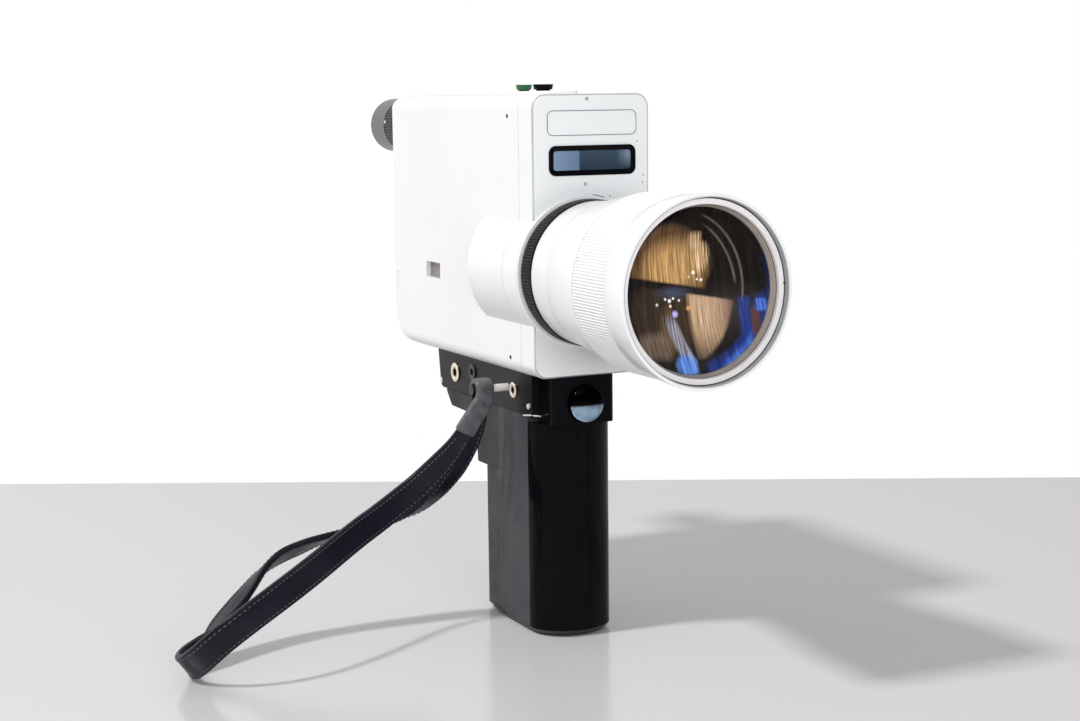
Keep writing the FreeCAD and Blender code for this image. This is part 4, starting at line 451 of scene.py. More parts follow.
def aged(
    name, colour, other, rough=0.4, spread=0.05, metal=0.0, coat=0.0, blotch=40.0, grain=900.0,
    strength=0.1, distance=0.05 * MM, specular=0.5, uv=False,
):
    """A surface whose colour and gloss vary slowly, with a fine grain."""
    if name in bpy.data.materials:
        return bpy.data.materials[name]
    mat, tree, shader, place = make_material(name)
    node = tree.nodes.new("ShaderNodeGroup")
    node.node_tree = wear_group()
    node.inputs["Colour"].default_value = (*colour, 1.0)
    node.inputs["Aged"].default_value = (*other, 1.0)
    for label, value in (("Blotch", blotch), ("Grain", grain), ("Rough", rough), ("Spread", spread)):
        node.inputs[label].default_value = value
    tree.links.new(place.outputs["UV" if uv else "Object"], node.inputs["Vector"])
    tree.links.new(node.outputs["Colour"], shader.inputs["Base Color"])
    tree.links.new(node.outputs["Rough"], shader.inputs["Roughness"])
    shader.inputs["Metallic"].default_value = metal
    shader.inputs["Coat Weight"].default_value = coat
    shader.inputs["Coat Roughness"].default_value = 0.08
    shader.inputs["Specular IOR Level"].default_value = specular
    bump(tree, shader, node.outputs["Height"], strength, distance)
    return mat


def scaled(colour, factor):
    """A colour made lighter or darker, held at 1."""
    return tuple(min(1.0, channel * factor) for channel in colour)


def painted(name, setting, first, second, **more):
    """An aged surface between two shares of one of the colours of the settings."""
    base = tuple(getattr(settings().colours, setting))
    return aged(name, scaled(base, first), scaled(base, second), **more)


def once(name):
    """Decorator: makes a material under a name the first time it is asked for."""
    def wrap(build):
        def made():
            return bpy.data.materials.get(name) or build(name)
        return made
    return wrap


X, Y, Z = 0, 1, 2
# Where painted shade turns two finishes black, in millimetres: over the top half of the release button, and along the
# strap's pin from under the strap's loop outwards.
DOME_SHADE_Z = (95.4, 96.4)
PIN_SHADE_X = (-26.4, -26.8)
# Where the grip's side meets its back, which painted shade makes darker.
GRIP_SHADED_BACK_Y = (9.0 * MM, 11.5 * MM)
# Plain finishes: each is the settings of aged().
SILVER = dict(colour=(0.80, 0.78, 0.73), other=(0.66, 0.63, 0.58), rough=0.3, metal=0.25, blotch=200.0)
PLAIN = {
    "aluminium": dict(
        name="Aluminium", colour=(0.60, 0.60, 0.61), other=(0.50, 0.50, 0.51), spread=0.06, metal=1.0, blotch=90.0),
    "bevel_line": dict(
        name="Bevel line", colour=(0.075, 0.045, 0.03), other=(0.05, 0.03, 0.02), rough=0.5, blotch=90.0),
    "bevel_paint": dict(
        name="Bevel paint", colour=(0.50, 0.44, 0.38), other=(0.40, 0.34, 0.29), blotch=90.0),
    "black_plastic": dict(
        name="Black plastic", colour=(0.016, 0.016, 0.018), other=(0.026, 0.026, 0.028), rough=0.38),
    "black_rubber": dict(
        name="Black rubber", colour=(0.042, 0.040, 0.048), other=(0.060, 0.056, 0.066), rough=0.26,
        coat=0.3, strength=0.05, specular=0.7),
    "blue_dome": dict(
        name="Blue dome", colour=(0.46, 0.62, 0.78), other=(0.16, 0.26, 0.38), rough=0.12, spread=0.06,
        metal=1.0, blotch=260.0, strength=0.02),
    "board_green": dict(
        name="Board", colour=(0.03, 0.16, 0.07), other=(0.05, 0.20, 0.08), rough=0.35, blotch=150.0),
    "brass": dict(
        name="Brass", colour=(0.62, 0.47, 0.24), other=(0.48, 0.35, 0.18), rough=0.30, spread=0.06,
        metal=1.0, blotch=180.0),
    "cell_jacket": dict(
        name="Cell jacket", colour=(0.30, 0.32, 0.36), other=(0.25, 0.27, 0.31), rough=0.3, spread=0.04),
    "dark_gap": dict(
        name="Dark gap", colour=(0.004, 0.004, 0.004), other=(0.010, 0.009, 0.008), rough=0.8, blotch=90.0),
    "dark_socket": dict(
        name="Dark socket", colour=(0.012, 0.012, 0.013), other=(0.03, 0.03, 0.032), rough=0.3, blotch=200.0),
    "door_pane": dict(
        name="Door pane", colour=(0.16, 0.145, 0.135), other=(0.28, 0.26, 0.25), rough=0.2, blotch=150.0),
    # Grey of the painted shade along the rounded front edge.
    "edge_line": dict(
        name="Edge line", colour=(0.36, 0.37, 0.39), other=(0.50, 0.51, 0.53), spread=0.04, blotch=60.0),
    "foam_black": dict(
        name="Foam", colour=(0.012, 0.012, 0.012), other=(0.020, 0.020, 0.020), rough=0.9, strength=0.6),
    "green_plastic": dict(
        name="Green plastic", colour=(0.010, 0.120, 0.035), other=(0.008, 0.095, 0.030), rough=0.2, spread=0.03),
    "grey_line": dict(
        name="Grey line", colour=(0.20, 0.20, 0.21), other=(0.27, 0.27, 0.28), rough=0.45, spread=0.04),
    "grey_metal": dict(
        name="Box paint", colour=(0.004, 0.004, 0.004), other=(0.008, 0.008, 0.008), rough=0.3, spread=0.06,
        specular=0.12),
    "grey_plastic": dict(
        name="Grey plastic", colour=(0.20, 0.20, 0.21), other=(0.16, 0.16, 0.17), rough=0.45),
    "mark_paint": dict(
        name="Mark paint", colour=(0.70, 0.70, 0.73), other=(0.60, 0.60, 0.63), rough=0.5, spread=0.04),
    "nickel": dict(
        name="Nickel", colour=(0.70, 0.68, 0.63), other=(0.55, 0.53, 0.50), rough=0.25, metal=1.0, blotch=200.0),
    "pale_metal": dict(
        name="Pale metal", colour=(0.82, 0.78, 0.77), other=(0.72, 0.67, 0.65), rough=0.35),
    "pale_ring": dict(
        name="Pale ring", colour=(0.80, 0.76, 0.66), other=(0.66, 0.60, 0.50), rough=0.30, metal=0.35,
        blotch=220.0),
    "screw_metal": dict(
        name="Screw metal", colour=(0.50, 0.50, 0.52), other=(0.40, 0.40, 0.42), rough=0.35, metal=0.2,
        blotch=200.0),
    "silver": dict(name="Silver", **SILVER),
    "silver_pin": dict(name="Silver pin", **SILVER),
    "steel": dict(
        name="Steel", colour=(0.56, 0.56, 0.57), other=(0.47, 0.46, 0.46), rough=0.27, spread=0.06,
        metal=1.0, blotch=180.0, grain=2600.0),
    "thread_metal": dict(
        name="Thread metal", colour=(0.46, 0.46, 0.46), other=(0.36, 0.36, 0.36), blotch=60.0),
}


def plain(finish):
    """The material of one of the plain finishes."""
    return aged(**PLAIN[finish])


def enamel():
    c = settings().colours
    return aged("Enamel", tuple(c.enamel), tuple(c.enamel_old), 0.33, 0.04, coat=0.25, blotch=25.0, strength=0.04)


def gloss_black():
    return painted(
        "Gloss black", "black", 1.0, 1.5, rough=0.10, spread=0.02, blotch=60.0, strength=0.01, specular=0.06
    )


def satin_black():
    return painted("Satin black", "black", 2.0, 4.0, rough=0.38, blotch=80.0, strength=0.12, specular=0.2)


def thread():
    return painted(
        "Thread", "thread", 1.0, 0.72, rough=0.75, blotch=400.0, grain=5200.0, strength=0.4, distance=0.1 * MM
    )


def sleeve_leather():
    return painted(
        "Sleeve leather", "sleeve", 1.0, 2.2, spread=0.08, blotch=260.0, strength=0.35, distance=0.1 * MM, uv=True
    )


@once("Grip grain")
def grip_skin(name):
    """Grained grip plastic: small closed cells with a fine dust of lighter tops, and painted shade darkening the
    back, which turns away from the light.
    """
    base = tuple(settings().colours.grip)
    mat, tree, shader, place = make_material(name)
    where = place.outputs["Object"]
    slow = noise(tree, where, 60.0)
    # Painted shade: the grip's back is mixed towards black.
    back = ramp(tree, split_vector(tree, where)[Y], *GRIP_SHADED_BACK_Y)
    tops = ramp(tree, cells(tree, where, 1500.0), 0.2, 0.8, 1.0, 0.0)
    shade = times(tree, tops, ramp(tree, slow, 0.3, 0.7, 0.6, 1.0))
    grained = mix(tree, shade, scaled(base, 0.6), scaled(base, 1.6))
    tree.links.new(mix(tree, back, grained, scaled(base, 0.3)), shader.inputs["Base Color"])
    shader.inputs["Specular IOR Level"].default_value = 0.35
    tree.links.new(ramp(tree, slow, 0.3, 0.7, 0.42, 0.56), shader.inputs["Roughness"])
    height = math_node(tree, "ADD", tops, times(tree, noise(tree, where, 2400.0, 2.0), 0.5))
    bump(tree, shader, height, 0.35, 0.1 * MM)
    return mat


@once("Strap leather")
def leather(name):
    """Strap leather on its own UV: crossed creases and pores."""
    base = tuple(settings().colours.leather)
    mat, tree, shader, place = make_material(name)
    uv = place.outputs["UV"]
    folds = noise(tree, uv, 300.0, 4.0)
    worn = ramp(tree, noise(tree, uv, 45.0), 0.35, 0.7)
    tree.links.new(mix(tree, worn, base, scaled(base, 2.2)), shader.inputs["Base Color"])
    tree.links.new(ramp(tree, folds, 0.3, 0.7, 0.3, 0.46), shader.inputs["Roughness"])
    shader.inputs["Specular IOR Level"].default_value = 0.22
    height = math_node(tree, "ADD", cells(tree, uv, 1100.0), times(tree, folds, 1.4))
    bump(tree, shader, height, 0.3, 0.12 * MM)
    return mat


@once("Clear glass")
def clear_glass(name):
    """Polished glass with a faint coating."""
    mat, tree, shader, place = make_material(name)
    dust = ramp(tree, noise(tree, place.outputs["Object"], 500.0), 0.4, 0.8)
    tree.links.new(mix(tree, dust, (1.0, 0.99, 0.98), (0.96, 0.96, 0.96)), shader.inputs["Base Color"])
    shader.inputs["Roughness"].default_value = 0.0
    shader.inputs["Transmission Weight"].default_value = 1.0
    shader.inputs["IOR"].default_value = 1.18
    return mat


@once("Window pane")
def window_pane(name):
    """Tinted pane: pale blue at one end and slate over the rest, lighter towards the top with a painted reflection,
    and a soft painted highlight in the upper right corner.
    """
    mat, tree, shader, place = make_material(name)
    x, _, z = split_vector(tree, place.outputs["Object"])
    left = mix(tree, ramp(tree, x, -13.0 * MM, -2.0 * MM), (0.20, 0.28, 0.38), (0.13, 0.19, 0.29))
    # Painted reflection: the slate grows lighter towards the top.
    dark = mix(tree, ramp(tree, z, 187.5 * MM, 197.5 * MM), (0.020, 0.032, 0.050), (0.045, 0.070, 0.105))
    # Painted highlight in the upper right corner.
    corner = times(tree, ramp(tree, x, 15.0 * MM, 20.0 * MM), ramp(tree, z, 190.0 * MM, 195.0 * MM))
    dark = mix(tree, corner, dark, (0.16, 0.21, 0.27))
    right = ramp(tree, x, -1.8 * MM, -1.2 * MM)
    tree.links.new(mix(tree, right, left, dark), shader.inputs["Base Color"])
    smear = noise(tree, place.outputs["Object"], 120.0)
    tree.links.new(ramp(tree, smear, 0.3, 0.7, 0.05, 0.12), shader.inputs["Roughness"])
    return mat


def painted_shade_over(finish, axis, low, high):
    """A plain finish with painted shade: black over the places beyond a limit, in millimetres along an axis."""
    name = PLAIN[finish]["name"]
    if name in bpy.data.materials:
        return bpy.data.materials[name]
    mat = plain(finish)
    tree = mat.node_tree
    colour = tree.nodes["Principled BSDF"].inputs["Base Color"]
    place = tree.nodes.new("ShaderNodeTexCoord")
    share = ramp(tree, split_vector(tree, place.outputs["Object"])[axis], low * MM, high * MM)
    tree.links.new(mix(tree, share, colour.links[0].from_socket, (0.006, 0.006, 0.007)), colour)
    return mat


def dome_metal():
    """Bluish metal of the release button, with painted shade making its top half black."""
    return painted_shade_over("blue_dome", Z, *DOME_SHADE_Z)


def pin_metal():
    """Silver pin, with painted shade making it black from under the strap's loop outwards."""
    return painted_shade_over("silver_pin", X, *PIN_SHADE_X)


# Glass with painted reflections ------------------------------------------------------------------

# Painted glints behind the glass: (x, z) from the axis in millimetres, radius and colour.
PAINTED_GLINTS = (
    ((4.4, 5.6), 0.9, (1.0, 0.90, 0.72)), ((7.5, 2.9), 0.7, (1.0, 0.92, 0.78)),
    ((5.9, 3.2), 0.5, (1.0, 0.92, 0.78)), ((2.7, 4.1), 0.45, (0.9, 0.7, 0.5)),
    ((-10.8, -4.9), 0.7, (0.85, 0.80, 0.80)), ((-7.0, -3.2), 0.6, (1.0, 0.96, 0.92)),
    ((-5.2, -3.9), 0.9, (1.0, 0.97, 0.93)), ((-3.6, -3.1), 0.6, (1.0, 0.95, 0.90)),
    ((-1.2, -3.9), 0.6, (0.90, 0.84, 0.84)), ((-4.9, -5.7), 0.7, (0.95, 0.82, 0.62)),
    ((-3.2, -8.6), 1.5, (0.48, 0.40, 0.80)), ((2.4, -6.8), 1.1, (0.66, 0.30, 0.09)),
)
# Thin pale arcs of painted glint on the inner rings: centre, radius and reach in z.
PAINTED_ARC_GLINTS = (((-7.0, -0.5), 29.4, (-4.0, 27.0)), ((-9.0, -2.0), 29.0, (2.0, 22.0)))


def slanted(tree, x, z, slope):
    """x - slope z, constant along a slanted line."""
    return math_node(tree, "SUBTRACT", x, times(tree, z, slope))


def distance(tree, x, z, place, half_w=1.0, half_h=1.0):
    """Distance from a place, counted in half widths and half heights."""
    dx = math_node(tree, "DIVIDE", math_node(tree, "SUBTRACT", x, place[0]), half_w)
    dz = math_node(tree, "DIVIDE", math_node(tree, "SUBTRACT", z, place[1]), half_h)
    return math_node(tree, "SQRT", math_node(tree, "ADD", times(tree, dx, dx), times(tree, dz, dz)))


@once("Coated glass")
def coated_glass(name):
    """Hollow coated glass deep in the lens, with the reflections in its coating painted into its colour.

    Each painted reflection is a mask of x and z in millimetres from the axis: an upper amber disc cut
    by a dark slanting band, a tan half disc below it, violet streaks running down to a blue edge,
    painted glints and two thin pale arcs of glint. Fine upright lines run through all of them.
    """
    c = settings().colours
    amber, blue = tuple(c.amber), tuple(c.blue)
    mat, tree, shader, place = make_material(name)
    x, _, z = split_vector(tree, place.outputs["Object"])
    x = math_node(tree, "ADD", math_node(tree, "DIVIDE", x, MM), 1.5)
    z = math_node(tree, "DIVIDE", math_node(tree, "SUBTRACT", z, settings().lens.axis_z), MM)
    lean = math_node(tree, "SUBTRACT", x, times(tree, ramp(tree, z, -4.0, 12.0, -0.06, -0.17), z))
    grid = tree.nodes.new("ShaderNodeCombineXYZ")
    tree.links.new(lean, grid.inputs["X"])
    tree.links.new(times(tree, z, 0.035), grid.inputs["Z"])
    lines = ramp(tree, noise(tree, grid.outputs[0], 1.7, 3.0, 0.7), 0.36, 0.64)
    broad = ramp(tree, noise(tree, grid.outputs[0], 0.22, 2.0), 0.35, 0.65)
    streak = times(tree, lines, ramp(tree, broad, 0.0, 1.0, 0.7, 1.0))
    level = slanted(tree, z, x, -0.18)
    radius = distance(tree, x, z, (0.0, 0.0))

    def over(value, low, high):
        return ramp(tree, value, low, high)

    def under(value, low, high):
        return ramp(tree, value, low, high, 1.0, 0.0)

    def between(value, low, high, soft):
        """1 where the value lies between low and high, fading to 0 over soft at each end."""
        half = soft / 2
        return times(tree, over(value, low - half, low + half), under(value, high - half, high + half))

    def disc(where, half_w, half_h, soft):
        return under(distance(tree, x, z, where, half_w, half_h), 1.0 - soft, 1.0)

    def streaked(dark, light):
        return mix(tree, streak, dark, light)

    look = streaked((0.004, 0.003, 0.003), (0.013, 0.008, 0.005))

    def patch(paint, *masks):
        return mix(tree, times(tree, *masks), look, paint)

    above, below = over(level, 1.0, 2.0), under(level, -1.7, -0.9)
    # Painted amber reflection: a disc above the band, with paler streaks in it.
    dim = streaked((0.035, 0.018, 0.008), (0.21, 0.11, 0.045))
    look = patch(dim, disc((-8.5, 3.5), 18.6, 21.5, 0.12), above)
    look = patch(streaked(scaled(amber, 0.22), amber), disc((-5.0, 8.0), 17.0, 12.5, 0.55), above)
    pale = streaked(scaled(amber, 0.7), (0.95, 0.72, 0.46))
    look = patch(pale, disc((7.0, 11.0), 3.4, 6.5, 0.5), above, lines)
    look = patch(pale, between(lean, 4.5, 9.0, 1.0), between(z, 14.0, 20.0, 2.0), lines)
    # Painted dark brown reflection below the band at the left, with a faint painted glow.
    brown = streaked((0.008, 0.005, 0.003), (0.060, 0.035, 0.018))
    look = patch(brown, disc((-6.0, -8.0), 21.0, 16.0, 0.25), below)
    look = patch((0.26, 0.15, 0.07), disc((-6.5, -14.0), 4.0, 10.0, 0.7), below, lines)
    # Painted tan reflection: a half disc, darker to the right and to the bottom.
    tan = streaked((0.24, 0.135, 0.065), (0.66, 0.47, 0.30))
    tan = mix(tree, over(x, 12.5, 19.0), tan, (0.14, 0.075, 0.055))
    tan = mix(tree, ramp(tree, z, -24.0, -15.0, 0.75, 0.0), tan, (0.045, 0.030, 0.025))
    cut = over(slanted(tree, x, z, -0.08), 0.9, 3.4)
    look = patch(tan, disc((0.0, 0.0), 19.8, 26.5, 0.06), cut, below)
    brown = streaked((0.04, 0.026, 0.018), (0.30, 0.21, 0.145))
    look = patch(brown, between(lean, -22.0, -9.0, 2.0), between(z, -23.5, -15.0, 3.0))
    # Painted blue reflection along the edge at the lower right.
    deep, bright = streaked((0.003, 0.006, 0.035), blue), streaked(blue, (0.10, 0.27, 0.78))
    low = under(slanted(tree, z, x, 0.25), -12.0, -8.0)
    look = patch(deep, over(radius, 26.0, 28.6), low, over(x, 4.5, 8.0))
    look = patch(deep, between(x, 21.0, 24.6, 0.8), between(z, -19.0, -3.6, 1.2))
    look = patch((0.085, 0.032, 0.028), between(x, 24.9, 28.0, 0.8), between(z, -17.5, -7.5, 1.2))
    look = patch(bright, between(x, 26.8, 30.5, 0.7), between(z, -8.6, -4.2, 0.9))
    look = patch(bright, over(radius, 28.6, 30.4), between(x, 13.0, 24.5, 3.0), under(z, -16.0, -12.0))
    rim = over(radius, 30.0, 31.2)
    look = patch((0.008, 0.016, 0.085), rim, between(z, -6.0, 12.0, 3.0), over(x, 20.0, 22.0))
    # Painted violet streaks of reflection running down to a painted blue patch.
    violet = mix(tree, lines, (0.035, 0.030, 0.042), (0.46, 0.44, 0.52))
    run = slanted(tree, x, z, -0.39)
    look = patch(violet, between(run, -12.4, -7.4, 1.2), between(z, -26.0, -10.5, 4.0))
    look = patch(mix(tree, lines, blue, (0.20, 0.42, 0.86)), disc((-1.6, -26.8), 5.4, 4.8, 0.4))
    look = patch((0.008, 0.007, 0.010), disc((4.4, -27.4), 2.2, 3.4, 0.3))
    look = patch((0.055, 0.065, 0.105), disc((-3.6, -1.0), 9.0, 3.0, 0.9), under(level, 0.4, 1.2))
    # Painted glints, then painted arcs of glint on the inner rings.
    for where, glint_r, paint in PAINTED_GLINTS:
        look = patch(paint, disc(where, glint_r, glint_r, 0.6))
    for where, arc_r, reach in PAINTED_ARC_GLINTS:
        arc = between(distance(tree, x, z, where), arc_r - 0.35, arc_r + 0.35, 0.5)
        look = patch((0.21, 0.17, 0.13), arc, between(z, *reach, 3.0), ramp(tree, x, 3.0, 6.0, 0.0, 0.6))
    tree.links.new(look, shader.inputs["Base Color"])
    tree.links.new(ramp(tree, broad, 0.0, 1.0, 0.22, 0.32), shader.inputs["Roughness"])
    shader.inputs["Specular IOR Level"].default_value = 0.05
    return mat


# The finish of a material slot and, before it, of a single node; other slots are in PLAIN.
SLOT_LOOKS = {
    "white_enamel": enamel, "black_gloss": gloss_black, "black_metal": satin_black, "grip_grey": grip_skin,
    "clear_glass": clear_glass, "coated_glass": clear_glass, "dark_glass": window_pane,
    "grey_leather": sleeve_leather, "black_leather": leather,
}
NODE_LOOKS = {
    "case_screws": lambda: plain("screw_metal"),
    "strap_pin": pin_metal,
    "release_button": dome_metal,
    "door_window": lambda: plain("door_pane"),
    "cable_release_socket": lambda: plain("dark_socket"),
}


def finish_of(part):
    """The material of a CAD node, from its entry in the record."""
    slot = part["material_slot"]
    look = NODE_LOOKS.get(part["node"]) or SLOT_LOOKS.get(slot)
    return look() if look else plain(slot)


# Lens -------------------------------------------------------------------------------------------

# Places along the lens axis and radii of the inner steps, in millimetres; the lens looks to -Y.
ZOOM_REAR_Y, GROOVE_Y, ZOOM_FRONT_Y, SLEEVE_FRONT_Y = -35.5, -37.1, -44.7, -74.0
TUBE_BORE_R, SLEEVE_R = 25.6, 27.05
BARREL_REAR_Y, STEP_Y, BARREL_FRONT_Y = -45.0, -59.75, -89.3
BARREL_WEB_REAR_Y, BARREL_WEB_FRONT_Y = -74.6, -80.5
BARREL_BORE_R, WEB_BORE_R = 27.2, 25.55
FOCUS_REAR_Y, RIBS_FRONT_Y, FOCUS_WEB_Y, RIB_BORE_R = -89.6, -114.0, -94.6, 30.8
RIM_Y, SEAT_Y, GLASS_SEAT_Y, LEDGE_Y, LEDGE_END_Y = -129.2, -126.5, -121.7, -117.4, -115.0
SEAT_R, GLASS_SEAT_R, LEDGE_R, LEDGE_END_R = 32.02, 31.6, 29.5, 28.0
THREAD_START_Y, THREAD_STEP, THREAD_POINTS, THREAD_WALL = -129.0, 0.28, 9, 0.35
# Closed profiles (y, r) of the rings round the front glass.
RETAINER = (
    (-126.68, 32.0), (-126.68, 31.1), (-126.2, 30.98), (-122.45, 30.0), (-122.45, 31.45), (-121.75, 31.45),
    (-121.75, 32.0),
)
SEAT_RING = (
    (-126.76, 33.05), (-126.8, 32.95), (-126.8, 32.1), (-126.76, 32.0), (SEAT_Y, 32.0), (SEAT_Y, 33.05),
)
GLASS_LINES = (
    ("seat_line", "dark_gap", ((-126.82, 33.4), (-126.82, 33.02), (SEAT_Y, 33.02), (SEAT_Y, 33.4))),
    ("inner_bevel", "bevel_paint", ((-125.2, 30.66), (-122.46, 29.94), (-122.46, 30.2), (-125.2, 31.0))),
    ("bevel_line", "bevel_line", ((-125.5, 30.76), (-125.2, 30.64), (-125.2, 31.0), (-125.5, 31.0))),
)
NOTCH_PLACE, NOTCH_R, NOTCH_H = (33.05, -126.83, 151.0), 0.45, 0.03
GLASS_RIM_Y, GLASS_RIM_R, GLASS_BACK_Y = -122.4, 30.0, -121.9
BOWL_RIM_Y, BOWL_RIM_R, BOWL_CURVE, BOWL_BACK_Y = -121.7, 29.9, -54.2, -111.0


class MC_OT_finishes(bpy.types.Operator):
    """Give every CAD node the finish of its material slot"""

    bl_idname = "movie_camera.finishes"
    bl_label = "Finishes"

    def execute(self, context):
        for part in frame["record"]["subparts"]:
            node = NODES[part["node"]]
            node.data.materials.clear()
            node.data.materials.append(finish_of(part))
        return {"FINISHED"}


class MC_OT_zoom_ring(bpy.types.Operator):
    """Black zoom ring: a smooth groove at the rear and straight teeth in front"""

    bl_idname = "movie_camera.zoom_ring"
    bl_label = "Zoom ring"

    def execute(self, context):
        s = settings().lens
        ring_r, groove_r = s.ring_r / MM, s.groove_r / MM
        prof = [
            (ZOOM_REAR_Y, TUBE_BORE_R), (ZOOM_REAR_Y, groove_r), (GROOVE_Y, groove_r),
            (GROOVE_Y - 0.2, ring_r - 0.25), (GROOVE_Y - 0.4, ring_r), (ZOOM_FRONT_Y + 0.4, ring_r),
            (ZOOM_FRONT_Y, ring_r - 0.5), (ZOOM_FRONT_Y, SLEEVE_R), (SLEEVE_FRONT_Y, SLEEVE_R),
            (SLEEVE_FRONT_Y, TUBE_BORE_R),
        ]
        toothed = [0, 0, 0, 0.3, 1, 1, 0.2, 0, 0, 0]
        piece = turned(
            "zoom_ring_shell", prof, satin_black(), "zoom_ring",
            teeth=s.teeth, depth=s.tooth / MM, toothed=toothed, share=0.45, smooth=25.0,
        )
        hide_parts("zoom_ring")
        return {"FINISHED"}


class MC_OT_barrel(bpy.types.Operator):
    """White barrel, conical towards the front, with the step behind its middle"""

    bl_idname = "movie_camera.barrel"
    bl_label = "Lens barrel"

    def execute(self, context):
        s = settings().lens
        rear, step, front = s.barrel_rear_r / MM, s.barrel_step_r / MM, s.barrel_front_r / MM
        prof = [
            (BARREL_REAR_Y, BARREL_BORE_R), (BARREL_REAR_Y, rear), (STEP_Y + 0.05, step - 0.15), (STEP_Y, step),
            (BARREL_FRONT_Y, front), (BARREL_FRONT_Y, front - 2.2), (BARREL_WEB_FRONT_Y, 30.3),
            (BARREL_WEB_FRONT_Y, WEB_BORE_R), (BARREL_WEB_REAR_Y, WEB_BORE_R), (BARREL_WEB_REAR_Y, BARREL_BORE_R),
        ]
        radii = [0.05, 0.35, 0.03, 0.12, 0.3] + [0.05] * 5
        piece = turned("barrel_shell", rounded(prof, radii), enamel(), "camera", segments=240)
        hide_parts("lens_barrel")
        return {"FINISHED"}


class MC_OT_focus_ring(bpy.types.Operator):
    """White focus ring: fine ribs behind, a plain band in front, and the inside of the rim"""

    bl_idname = "movie_camera.focus_ring"
    bl_label = "Focus ring"

    def execute(self, context):
        s = settings().lens
        band_r, rim_r, thread_r = s.barrel_front_r / MM, s.rim_r / MM, s.thread_r / MM
        prof = [
            (FOCUS_REAR_Y, TUBE_BORE_R), (FOCUS_REAR_Y, band_r - 0.35), (FOCUS_REAR_Y - 0.25, band_r),
            (RIBS_FRONT_Y + 0.5, band_r), (RIBS_FRONT_Y + 0.1, band_r - 0.2), (RIBS_FRONT_Y, RIB_BORE_R),
            (FOCUS_WEB_Y, RIB_BORE_R), (FOCUS_WEB_Y, TUBE_BORE_R),
        ]
        ribs = turned(
            "focus_ribs", prof, enamel(), "focus_ring",
            teeth=s.ribs, depth=s.rib_depth / MM, toothed=[0, 0.4, 1, 1, 0, 0, 0, 0], smooth=28.0,
        )
        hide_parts("focus_ring")

        band_y, wall_r = RIBS_FRONT_Y - 0.05, thread_r + THREAD_WALL
        prof = [
            (band_y, RIB_BORE_R), (band_y, band_r), (RIM_Y, rim_r), (RIM_Y, wall_r), (SEAT_Y, wall_r),
            (SEAT_Y, SEAT_R), (GLASS_SEAT_Y, SEAT_R), (GLASS_SEAT_Y, GLASS_SEAT_R), (LEDGE_Y, GLASS_SEAT_R),
            (LEDGE_Y, LEDGE_R), (LEDGE_END_Y, LEDGE_END_R),
        ]
        radii = [0.05, 0.25, 0.4, 0.1] + [0.05] * 7
        prof = rounded(prof, radii, steps=3)
        band = turned("front_band", prof, enamel(), "focus_ring", segments=240, smooth=35.0)

        threads = [
            (THREAD_START_Y + THREAD_STEP * i, thread_r + (0.15 if i % 2 else -0.02)) for i in range(THREAD_POINTS)
        ]
        back_y, back_r = SEAT_Y - 0.2, wall_r - 0.01
        prof = [(back_y, back_r), (THREAD_START_Y - 0.1, back_r), *threads, (back_y, thread_r - 0.05)]
        turned("filter_thread", prof, plain("thread_metal"), "focus_ring", segments=200, smooth=20.0)
        return {"FINISHED"}


class MC_OT_retainer(bpy.types.Operator):
    """Pale retaining ring with a darker bevel round the front glass"""

    bl_idname = "movie_camera.retainer"
    bl_label = "Retaining ring"

    def execute(self, context):
        pale = plain("pale_metal")
        prof = rounded(RETAINER, 0.08, steps=3)
        ring = turned("retaining_ring", prof, pale, "focus_ring", segments=240, smooth=30.0)
        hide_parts("front_retainer")
        turned("seat_ring", SEAT_RING, pale, "focus_ring", segments=240, smooth=30.0)
        for name, finish, prof in GLASS_LINES:
            turned(name, prof, plain(finish), "focus_ring", segments=240)
        knobs("ring_notch", [NOTCH_PLACE], -BACK, NOTCH_R, NOTCH_H, plain("dark_gap"), "focus_ring", sides=12)
        return {"FINISHED"}


class MC_OT_front_glass(bpy.types.Operator):
    """Clear front glass over a hollow coated one that carries painted reflections"""

    bl_idname = "movie_camera.front_glass"
    bl_label = "Front glass"

    def execute(self, context):
        curve = settings().lens.glass_curve / MM
        glass = dome("front_glass", GLASS_RIM_Y, GLASS_RIM_R, curve, GLASS_BACK_Y, clear_glass(), "focus_ring")
        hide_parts("front_lens")
        dome("coated_glass", BOWL_RIM_Y, BOWL_RIM_R, BOWL_CURVE, BOWL_BACK_Y, coated_glass(), "focus_ring")
        return {"FINISHED"}


# Casing and box ---------------------------------------------------------------------------------

# The casing's front face and what lies on it: (x, z) centres and (half width, half height, corner).
FACE_Y = -34.0
WINDOW_CENTRE, WINDOW_OUTER, WINDOW_INNER = (4.3, 193.4), (19.2, 5.9, 3.0), (17.1, 3.8, 1.4)
PLATE_CENTRE, PLATE_OUTER, PLATE_INNER = (4.35, 208.05), (19.85, 4.95, 2.5), (19.5, 4.6, 2.2)
# The strip of painted shade along the rounded front edge: centre, outlines and the y of the rounding's centre.
EDGE_SHADE_CENTRE, EDGE_SHADE_OUTER, EDGE_SHADE_INNER, EDGE_SHADE_Y = (4.0, 163.5), (26.0, 56.0, 5.5), (24.8, 54.8, 4.3), -32.8
# Rows of the window frame's section: share from the outer outline to the inner one, and y.
WINDOW_SECTION = ((0.0, -33.7), (0.0, -34.65), (0.1, -34.8), (0.35, -34.8), (1.0, -34.15), (1.0, -33.6))
SPECK_R, SPECK_H = 0.28, 0.04
SPECKS = [(24.5, FACE_Y, 200.4), (12.1, FACE_Y, 179.0), (27.2, FACE_Y, 187.0), (26.9, FACE_Y, 184.0)]
RUB_R, RUB_FROM, RUB_TO, RUB_POINTS, RUB_LINE_R = 30.6, 72.0, 82.0, 8, 0.16
DOOR_PIN_R, DOOR_PIN_H = 0.85, 0.12
DOOR_PIN_PLACES = [(-22.0, -11.5, 210.9), (-22.0, -11.6, 114.1)]
